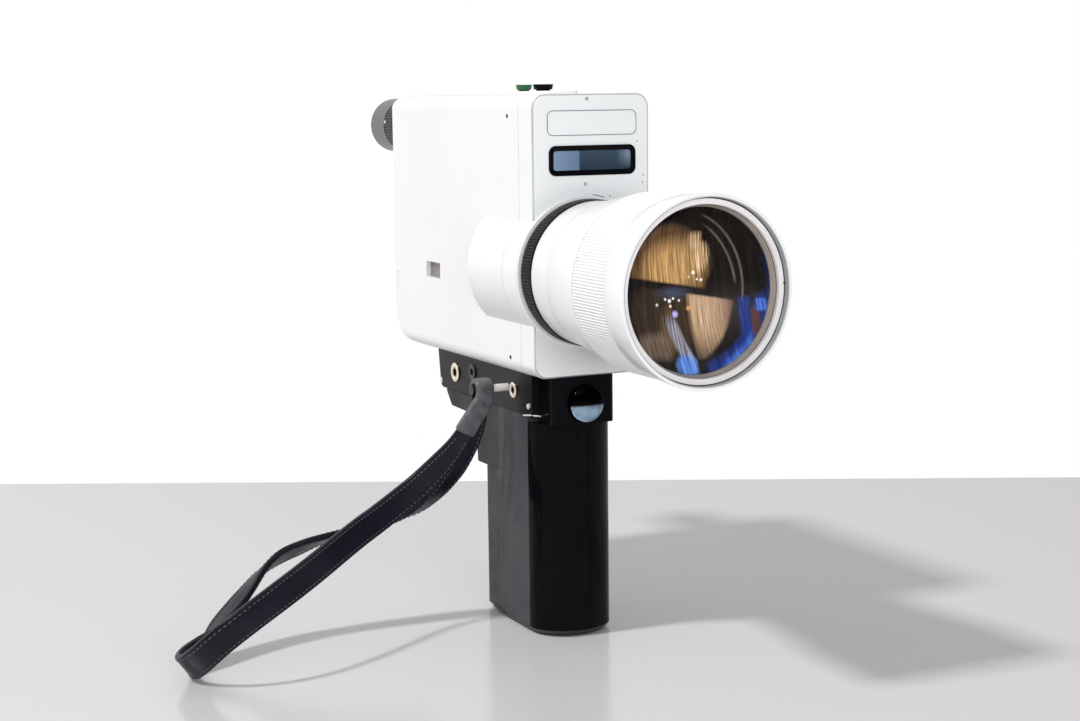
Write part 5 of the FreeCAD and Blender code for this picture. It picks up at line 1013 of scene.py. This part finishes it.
# Rims of the box's sockets: name, y, z, outer and inner radius and finish.
BOX_RIM_X = -18.2
RIM_SIDES = 64
RIMS = (
    ("rear_jack_rim", 54.3, 99.2, 4.15, 2.35, "pale_ring"),
    ("front_jack_rim", -5.1, 99.4, 3.25, 1.75, "pale_ring"),
    ("cable_socket_rim", 36.0, 101.6, 3.25, 1.9, "dark_socket"),
)
RIVET_R, RIVET_H, STRIP_R, EDGE_RIVET_R, EDGE_RIVET_H = 1.1, 0.4, 0.38, 1.15, 0.5
RIVET_PLACES = [(-17.6, 70.4, 93.5), (-17.6, -18.4, 94.4)]
STRIPS = [[(-17.9, -13.8, 90.2), (-17.9, -22.2, 91.4)], [(-12.4, -22.3, 90.4), (-17.6, -22.3, 91.3)]]
EDGE_RIVET_PLACE = (-9.8, -22.0, 88.9)
EYE_X, EYE_Z, EYE_RING_R, MARK_ANGLE = -9.0, 206.0, 12.36, math.radians(172.0)
MARK_REAR_Y, MARK_TIP_Y, MARK_HALF = 124.0, 121.9, 0.09


class MC_OT_front_plate(bpy.types.Operator):
    """Window frame, outline of the bare name plate, a strip of painted shade along the rounded front edge, and small
    marks on the front face
    """

    bl_idname = "movie_camera.front_plate"
    bl_label = "Front plate"

    def execute(self, context):
        black = gloss_black()
        bezel = frame_ring("window_frame", WINDOW_CENTRE, WINDOW_OUTER, WINDOW_INNER, WINDOW_SECTION, black)
        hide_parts("window_bezel")
        top_y = FACE_Y - 0.16
        section = [(0.0, FACE_Y), (0.0, top_y), (1.0, top_y), (1.0, FACE_Y)]
        frame_ring("plate_line", PLATE_CENTRE, PLATE_OUTER, PLATE_INNER, section, plain("grey_line"))
        # Painted shade along the rounded front edge: a grey strip that follows the rounding, between two arcs about
        # its centre.
        t = np.radians(np.linspace(22.0, 62.0, 5))
        section = [
            (float(1.0 - share * np.sin(a)), float(EDGE_SHADE_Y - reach * np.cos(a)))
            for share, reach, turn in ((1.02, 1.22, t), (0.9, 1.1, t[::-1])) for a in turn
        ]
        frame_ring("edge_line", EDGE_SHADE_CENTRE, EDGE_SHADE_OUTER, EDGE_SHADE_INNER, section, plain("edge_line"))
        knobs("paint_specks", SPECKS, -BACK, SPECK_R, SPECK_H, plain("dark_gap"), "camera", sides=8)
        a = np.radians(np.linspace(RUB_FROM, RUB_TO, RUB_POINTS))
        z = settings().lens.axis_z / MM + RUB_R * np.sin(a)
        arc = np.stack([RUB_R * np.cos(a), np.full(RUB_POINTS, FACE_Y - 0.02), z], -1)
        dash("rub_mark", np.stack([arc[:-1], arc[1:]], 1), RUB_LINE_R, plain("dark_gap"))
        return {"FINISHED"}


class MC_OT_door_pins(bpy.types.Operator):
    """Small pins in the film door"""

    bl_idname = "movie_camera.door_pins"
    bl_label = "Door pins"

    def execute(self, context):
        knobs("door_pins", DOOR_PIN_PLACES, LEFT, DOOR_PIN_R, DOOR_PIN_H, plain("dark_gap"), "film_door")
        return {"FINISHED"}


class MC_OT_sockets(bpy.types.Operator):
    """Rims, rivets and strips of the box under the body"""

    bl_idname = "movie_camera.sockets"
    bl_label = "Sockets"

    def execute(self, context):
        for name, y, z, outer, inner, finish in RIMS:
            section = [
                (0.35, inner), (0.0, inner), (-0.18, inner + 0.3), (-0.18, outer - 0.35), (0.0, outer), (0.35, outer),
            ]
            prof = rounded(section, 0.12)
            a, r = circle(RIM_SIDES), prof[:, 1][:, None]
            x = np.repeat((BOX_RIM_X + prof[:, 0])[:, None], RIM_SIDES, 1)
            pts = np.stack([x, y + r * np.cos(a), z + r * np.sin(a)], -1)
            mesh_object(name, pts, grid_faces(len(prof), RIM_SIDES, True, True), plain(finish), "camera", merge=True)
        silver = plain("silver")
        knobs("box_rivets", RIVET_PLACES, LEFT, RIVET_R, RIVET_H, silver, "camera")
        dash("edge_strip", STRIPS, STRIP_R, silver)
        knobs("edge_rivet", [EDGE_RIVET_PLACE], -BACK, EDGE_RIVET_R, EDGE_RIVET_H, silver, "camera")
        return {"FINISHED"}


class MC_OT_eyepiece(bpy.types.Operator):
    """Index mark of the eyepiece's ring"""

    bl_idname = "movie_camera.eyepiece"
    bl_label = "Eyepiece mark"

    def execute(self, context):
        pts = [
            (EYE_X + EYE_RING_R * math.cos(a), y, EYE_Z + EYE_RING_R * math.sin(a))
            for y, a in (
                (MARK_REAR_Y, MARK_ANGLE - MARK_HALF),
                (MARK_REAR_Y, MARK_ANGLE + MARK_HALF),
                (MARK_TIP_Y, MARK_ANGLE),
            )
        ]
        mesh_object("index_mark", pts, [(0, 1, 2)], plain("mark_paint"), "dioptre_ring")
        return {"FINISHED"}


# Strap ------------------------------------------------------------------------------------------

ROUTE_STEPS = 5
PIN_STEPS = 17
EDGE_STEPS = 5
STITCH_MARGIN = 24.0
STITCH_LIFT = 0.02
SLEEVE_END = 18.4
SLEEVE_START, SLEEVE_BLEND, SLEEVE_SLACK = 4.6, 1.2, 0.06
SLEEVE_EDGE, SLEEVE_OVERHANG = 1.4, 0.5
PIN = np.array([-29.3, 1.0, 99.9])
PIN_R = 1.6
PIN_PLAY = 0.3
PIN_STRAP_W = 7.0
# Way out from the pin, way back from it, height over the table, lean of the width from level to
# upright, twist about the run (degrees) and width of the band.
STRAP_ROUTE = np.array([
    (0.6, -3.2, 96.0, 8, 0, 7.0), (2.4, -2.8, 92.5, 18, 0, 7.0), (5.7, -0.8, 86.6, 32, 0, 7.0),
    (8.7, 2.0, 80.1, 43, 0, 7.6), (11.3, 4.6, 75.1, 49, 0, 8.6), (15.6, 7.8, 69.0, 53, 0, 10.0),
    (23.6, 11.0, 60.5, 55, 0, 11.2), (32.6, 11.2, 54.3, 55, 0, 11.5), (42.8, 8.0, 49.4, 55, 0, 11.5),
    (54.3, 1.2, 45.8, 55, 0, 11.5), (66.1, -7.8, 42.6, 55, 0, 11.5), (77.6, -16.4, 39.2, 55, 0, 11.5),
    (88.3, -23.6, 35.9, 55, 0, 11.5), (98.3, -29.2, 32.5, 55, 0, 11.5), (107.2, -32.2, 28.6, 55, 0, 11.5),
    (115.4, -33.0, 24.0, 55, 0, 11.5), (122.7, -31.0, 18.4, 55, 0, 11.5), (128.6, -25.6, 11.4, 55, 0, 11.5),
    (131.2, -19.6, 7.1, 55, 0, 11.5), (131.4, -13.8, 5.8, 55, 0, 11.5), (129.0, -8.4, 6.2, 56, 12, 11.5),
    (124.0, -3.0, 7.8, 58, 34, 11.5), (117.8, 3.0, 10.4, 60, 62, 11.5), (111.2, 8.5, 14.3, 60, 84, 11.5),
    (103.4, 13.5, 19.2, 60, 88, 11.5), (97.2, 17.0, 23.7, 60, 82, 11.5), (89.6, 20.3, 29.8, 60, 68, 11.5),
    (81.4, 21.8, 34.3, 60, 54, 11.5), (72.7, 22.4, 36.9, 60, 54, 11.5), (63.9, 22.6, 39.1, 60, 62, 11.5),
    (50.9, 22.0, 41.7, 60, 72, 11.5), (37.9, 21.2, 43.6, 58, 76, 11.5), (29.4, 20.0, 45.6, 55, 70, 11.5),
    (21.2, 17.8, 49.4, 52, 54, 11.2), (14.4, 14.6, 56.0, 48, 38, 10.4), (10.3, 12.4, 61.4, 44, 26, 9.6),
    (6.7, 10.2, 67.0, 40, 16, 8.8), (2.8, 7.6, 75.2, 32, 8, 7.8), (0.6, 5.4, 82.9, 22, 0, 7.2),
    (-0.4, 3.8, 90.0, 10, 0, 7.0), (-0.2, 3.3, 96.0, 3, 0, 7.0),
])


def unit(rows):
    """Each row divided by its length."""
    return rows / np.linalg.norm(rows, axis=1, keepdims=True)


def run_length(centre):
    """Length along a line of points up to each of them."""
    return np.concatenate([[0.0], np.cumsum(np.linalg.norm(np.diff(centre, axis=0), axis=1))])


def smooth_route(route, steps):
    """Catmull-Rom curve through a route's points.

    Between p1 and p2 it is (2 p1 + (p2 - p0) t + (2 p0 - 5 p1 + 4 p2 - p3) t^2
    + (3 p1 - p0 - 3 p2 + p3) t^3) / 2.
    """
    p = np.concatenate([route[:1], route, route[-1:]])
    t = (np.arange(steps) / steps)[None, :, None]
    p0, p1, p2, p3 = (p[i:len(p) - 3 + i][:, None] for i in range(4))
    square, cube = 2 * p0 - 5 * p1 + 4 * p2 - p3, 3 * p1 - p0 - 3 * p2 + p3
    curve = 0.5 * (2 * p1 + (p2 - p0) * t + square * t ** 2 + cube * t ** 3)
    return np.concatenate([curve.reshape(-1, route.shape[1]), route[-1:]])


def route_frames():
    """(centre, width way, inward way, half width) rows from in front of the pin to behind it.

    The width is LEFT cos lean + UP sin lean, made square to the run and turned about it by the twist.
    """
    rows = smooth_route(STRAP_ROUTE, ROUTE_STEPS)
    centre = np.array([PIN[0], PIN[1], 0.0]) + LEFT * rows[:, :1] + BACK * rows[:, 1:2] + UP * rows[:, 2:3]
    run = unit(np.gradient(centre, axis=0))
    lean, twist = np.radians(rows[:, 3:4]), np.radians(rows[:, 4:5])
    width = LEFT * np.cos(lean) + UP * np.sin(lean)
    width = unit(width - run * (width * run).sum(1, keepdims=True))
    width = width * np.cos(twist) + np.cross(run, width) * np.sin(twist)
    return centre, width, np.cross(run, width), rows[:, 5] / 2


def over_the_pin(thickness):
    """Frames of the half turn over the pin, from behind it to in front of it."""
    a = np.linspace(0.0, np.pi, PIN_STEPS)[:, None]
    way = BACK * np.cos(a) + UP * np.sin(a)
    radius = PIN_R + PIN_PLAY + thickness / 2
    return PIN + way * radius, np.repeat(LEFT[None], PIN_STEPS, 0), -way, np.full(PIN_STEPS, PIN_STRAP_W / 2)


def chained(*parts):
    """Runs of frames joined end to end."""
    return tuple(np.concatenate([part[i] for part in parts]) for i in range(4))


def strap_frames():
    """Frames of the whole band: from in front of the pin round the loop and over the pin again."""
    over = over_the_pin(settings().strap.thickness / MM)
    return chained(tuple(rows[-1:] for rows in over), route_frames(), tuple(rows[:-1] for rows in over))


def band(name, frames, half_t, edge, material, extra=0.0):
    """Band with rounded edges along frames, with UVs in metres: along in U and round in V.

    Points are centre + across width + through face, where (across, through) runs round a rectangle
    with round corners. half_t is one number or a row for each frame; extra widens the band at each
    edge.
    """
    centre, width, face, half_w = frames
    half_t = np.broadcast_to(half_t, len(centre))
    square, turn = outline_points(1.0, 1.0, 0.0, EDGE_STEPS), outline_points(1.0, 1.0, 1.0, EDGE_STEPS)
    corner = np.minimum(edge, half_t * 0.95)[:, None]
    across = square[:, 0] * (half_w[:, None] + extra - corner) + turn[:, 0] * corner
    through = square[:, 1] * (half_t[:, None] - corner) + turn[:, 1] * corner
    pts = centre[:, None] + width[:, None] * across[..., None] + face[:, None] * through[..., None]
    nu, nv = across.shape
    faces = grid_faces(nu, nv, False, True).tolist()
    faces += [list(range(nv))[::-1], list(range((nu - 1) * nv, nu * nv))]
    piece = mesh_object(name, pts, faces, material, "camera", 50.0)
    face_outwards(piece.data)
    along = run_length(centre) * MM
    girth = run_length(np.stack([across[nu // 2], through[nu // 2]], -1)) * MM
    loops = np.empty(len(piece.data.loops), int)
    piece.data.loops.foreach_get("vertex_index", loops)
    uv = np.stack([along[loops // nv], girth[loops % nv]], -1)
    piece.data.uv_layers.new(name="along").data.foreach_set("uv", uv.ravel())
    return piece


class MC_OT_strap(bpy.types.Operator):
    """Leather wrist strap with two rows of stitches on each face"""

    bl_idname = "movie_camera.strap"
    bl_label = "Wrist strap"

    def execute(self, context):
        s = settings().strap
        half_t = s.thickness / MM / 2
        frames = strap_frames()
        strap = band("strap_band", frames, half_t, s.edge / MM, leather())
        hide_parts("wrist_strap")
        centre, width, face, half_w = frames
        length = run_length(centre)
        places = np.arange(STITCH_MARGIN, length[-1] - STITCH_MARGIN, s.stitch_gap / MM)
        half = s.stitch_l / MM / 2

        def taken(rows, where):
            return np.stack([np.interp(where, length, column) for column in rows.T], -1)

        def at(where, side, lift):
            offset = side * (np.interp(where, length, half_w) - s.stitch_inset / MM)
            return taken(centre, where) + taken(width, where) * offset[:, None] + taken(face, where) * lift

        top = half_t + STITCH_LIFT
        runs = [
            np.stack([at(places - half, side, lift), at(places + half, side, lift)], 1)
            for side in (-1.0, 1.0) for lift in (-top, top)
        ]
        rows = dash("strap_stitches", np.concatenate(runs), s.stitch_r / MM, thread())
        return {"FINISHED"}


class MC_OT_sleeve(bpy.types.Operator):
    """Smooth grey leather round the front strand below the pin and over the pin"""

    bl_idname = "movie_camera.sleeve"
    bl_label = "Strap sleeve"

    def execute(self, context):
        s = settings().strap
        rows = route_frames()
        drop = PIN[2] - rows[0][:, 2]
        keep = (np.arange(len(drop)) < len(drop) // 2) & (drop < SLEEVE_END)
        frames = chained(over_the_pin(s.thickness / MM), tuple(part[keep] for part in rows))
        below = PIN[2] - frames[0][:, 2]
        bare = s.thickness / MM / 2 + SLEEVE_SLACK
        thickness = bare + s.sleeve_t / MM * np.clip((below - SLEEVE_START) / SLEEVE_BLEND, 0.0, 1.0)
        thickness[:PIN_STEPS] = bare
        sleeve = band("strap_sleeve", frames, thickness, SLEEVE_EDGE, sleeve_leather(), extra=SLEEVE_OVERHANG)
        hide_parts("strap_keeper")
        return {"FINISHED"}


# Stage ------------------------------------------------------------------------------------------

# Two points of the table's far edge and how far the table reaches from them, in millimetres.
TABLE_EDGE = np.array([-157.0, 399.7]), np.array([353.3, 132.4])
TABLE_LEFT, TABLE_RIGHT, TABLE_DEPTH, TABLE_Z = 1500.0, 2500.0, 2300.0, -0.05
# Lamps in metres.
KEY_PLACE, KEY_TARGET, KEY_SIDE, KEY_COLOUR = (-2.55, 0.138, 3.6), (0.0, 0.0, 0.12), 0.4, (1.0, 0.992, 0.985)
FILL_PLACE, FILL_TARGET, FILL_COLOUR = (-0.4, -2.2, 0.55), (0.0, 0.0, 0.15), (0.93, 0.97, 1.0)
FILL_WIDTH, FILL_HEIGHT = 1.8, 0.9
# Room: the way to the white wall behind, and the tint in front of it and behind it.
WALL_X, WALL_Y, ROOM_TINT, WALL_TINT = 0.44, 0.9, (0.93, 0.97, 1.0), (1.0, 0.985, 0.98)
WALL_BLEND, RIGHT_BLEND = (-0.15, 0.25), (-0.8, 0.9)
CAMERA_PLACE = (-337.4, -683.4, 218.0)
YAW, PITCH, ROLL = math.radians(26.07), math.radians(8.07), math.radians(-0.69)
CAMERA_SHIFT = -0.5 / 1080.0


def area_lamp(name, place, target, width, height, power, colour):
    """A rectangular lamp at a place, turned to its target."""
    data = bpy.data.lights.new(name, "AREA")
    data.shape, data.size, data.size_y = "RECTANGLE", width, height
    data.energy, data.color = power, colour
    lamp = bpy.data.objects.new(name, data)
    lamp.location = place
    lamp.rotation_mode = "QUATERNION"
    lamp.rotation_quaternion = (Vector(target) - Vector(place)).to_track_quat("-Z", "Y")
    bpy.context.scene.collection.objects.link(lamp)
    return lamp


def white_to_the_camera(tree, path, shaded, output):
    """Shows white to the camera and through glass, and the shaded room to everything else."""
    glow = tree.nodes.new("ShaderNodeBackground")
    glow.inputs["Color"].default_value = (1.0, 1.0, 1.0, 1.0)
    blend = tree.nodes.new("ShaderNodeMixShader")
    seen = math_node(tree, "MAXIMUM", path.outputs["Is Camera Ray"], path.outputs["Is Transmission Ray"])
    for source, slot in zip((seen, shaded, glow.outputs[0]), blend.inputs):
        tree.links.new(source, slot)
    tree.links.new(blend.outputs[0], output.inputs["Surface"])


def make_table():
    """A plane under the camera, with its far edge where the picture shows it."""
    colour = tuple(settings().colours.table)
    edge_a, edge_b = TABLE_EDGE
    along = (edge_b - edge_a) / np.linalg.norm(edge_b - edge_a)
    front = np.array([along[1], -along[0]]) * TABLE_DEPTH
    left, right = edge_a - along * TABLE_LEFT, edge_a + along * TABLE_RIGHT
    pts = np.array([(x, y, TABLE_Z) for x, y in (left, right, right + front, left + front)])
    mesh = bpy.data.meshes.new("table")
    mesh.from_pydata((pts * MM).tolist(), [], [(0, 3, 2, 1)])
    table = bpy.data.objects.new("table", mesh)
    bpy.context.scene.collection.objects.link(table)
    mesh.materials.append(aged(
        "Table", colour, scaled(colour, 0.97), 0.17, 0.015,
        blotch=3.0, grain=800.0, strength=0.01, specular=1.0,
    ))


def make_room(s):
    """World light: a white wall behind, a darker room in front, and less light from the right."""
    world = bpy.data.worlds.new("Room")
    bpy.context.scene.world = world
    world.use_nodes = True
    tree = world.node_tree
    tree.nodes.clear()
    output = tree.nodes.new("ShaderNodeOutputWorld")
    place = tree.nodes.new("ShaderNodeTexCoord")
    path = tree.nodes.new("ShaderNodeLightPath")
    x, y, _ = split_vector(tree, place.outputs["Generated"])
    behind = math_node(tree, "ADD", times(tree, x, WALL_X), times(tree, y, WALL_Y))
    behind = ramp(tree, behind, *WALL_BLEND)
    dimming = ramp(tree, x, *RIGHT_BLEND, 1.0, s.right_share)
    in_front = ramp(tree, path.outputs["Is Glossy Ray"], 0.0, 1.0, s.room, s.reflected_room)
    level = tree.nodes.new("ShaderNodeMix")
    tree.links.new(behind, level.inputs[0])
    tree.links.new(in_front, level.inputs[2])
    level.inputs[3].default_value = s.wall
    room = tree.nodes.new("ShaderNodeBackground")
    tree.links.new(mix(tree, behind, ROOM_TINT, WALL_TINT), room.inputs["Color"])
    tree.links.new(times(tree, level.outputs[0], dimming), room.inputs["Strength"])
    white_to_the_camera(tree, path, room.outputs[0], output)


def make_camera(focal):
    """The photo's camera: it looks along its yaw and pitch and is turned about that by the roll."""
    data = bpy.data.cameras.new("camera")
    data.sensor_width, data.lens = 36.0, focal
    data.clip_start, data.clip_end = 0.05, 20.0
    data.shift_y = CAMERA_SHIFT
    camera = bpy.data.objects.new("camera", data)
    look = Vector((math.sin(YAW) * math.cos(PITCH), math.cos(YAW) * math.cos(PITCH), -math.sin(PITCH)))
    level = Vector((math.cos(YAW), -math.sin(YAW), 0.0))
    steep = level.cross(look)
    right = level * math.cos(ROLL) + steep * math.sin(ROLL)
    up = steep * math.cos(ROLL) - level * math.sin(ROLL)
    turn = Matrix((right, up, -look)).transposed().to_4x4()
    camera.matrix_world = Matrix.Translation(Vector(CAMERA_PLACE) * MM) @ turn
    bpy.context.scene.collection.objects.link(camera)
    bpy.context.scene.camera = camera


class MC_OT_stage(bpy.types.Operator):
    """Pale table, white room, soft lamps and the photo's camera"""

    bl_idname = "movie_camera.stage"
    bl_label = "Stage"

    def execute(self, context):
        s = settings().studio
        make_table()
        make_room(s)
        area_lamp("key", KEY_PLACE, KEY_TARGET, KEY_SIDE, KEY_SIDE, s.key, KEY_COLOUR)
        fill = area_lamp("fill", FILL_PLACE, FILL_TARGET, FILL_WIDTH, FILL_HEIGHT, s.fill, FILL_COLOUR)
        fill.visible_glossy = False
        make_camera(s.focal)
        context.scene.view_settings.view_transform = "Standard"
        return {"FINISHED"}


# Add-on -----------------------------------------------------------------------------------------


class MC_Settings(bpy.types.PropertyGroup):
    lens: bpy.props.PointerProperty(type=LensSizes)
    strap: bpy.props.PointerProperty(type=StrapSizes)
    colours: bpy.props.PointerProperty(type=Colours)
    studio: bpy.props.PointerProperty(type=StudioSizes)


OPERATORS = (
    MC_OT_finishes, MC_OT_zoom_ring, MC_OT_barrel, MC_OT_focus_ring, MC_OT_retainer, MC_OT_front_glass,
    MC_OT_front_plate, MC_OT_door_pins, MC_OT_sockets, MC_OT_strap, MC_OT_sleeve, MC_OT_eyepiece, MC_OT_stage,
)


class MC_PT_panel(bpy.types.Panel):
    """Lists the pieces in the order in which they are made"""

    bl_idname = "MC_PT_panel"
    bl_label = "Movie camera"
    bl_space_type = "VIEW_3D"
    bl_region_type = "UI"
    bl_category = "Movie camera"

    def draw(self, context):
        for operator in OPERATORS:
            self.layout.operator(operator.bl_idname)


CLASSES = (LensSizes, StrapSizes, Colours, StudioSizes, MC_Settings, *OPERATORS, MC_PT_panel)


def register():
    for cls in CLASSES:
        bpy.utils.register_class(cls)
    bpy.types.Scene.movie_camera = bpy.props.PointerProperty(type=MC_Settings)


def unregister():
    del bpy.types.Scene.movie_camera
    for cls in reversed(CLASSES):
        bpy.utils.unregister_class(cls)


def main():
    register()
    for operator in OPERATORS:
        group, name = operator.bl_idname.split(".")
        getattr(getattr(bpy.ops, group), name)()


if __name__ == "__main__":
    main()
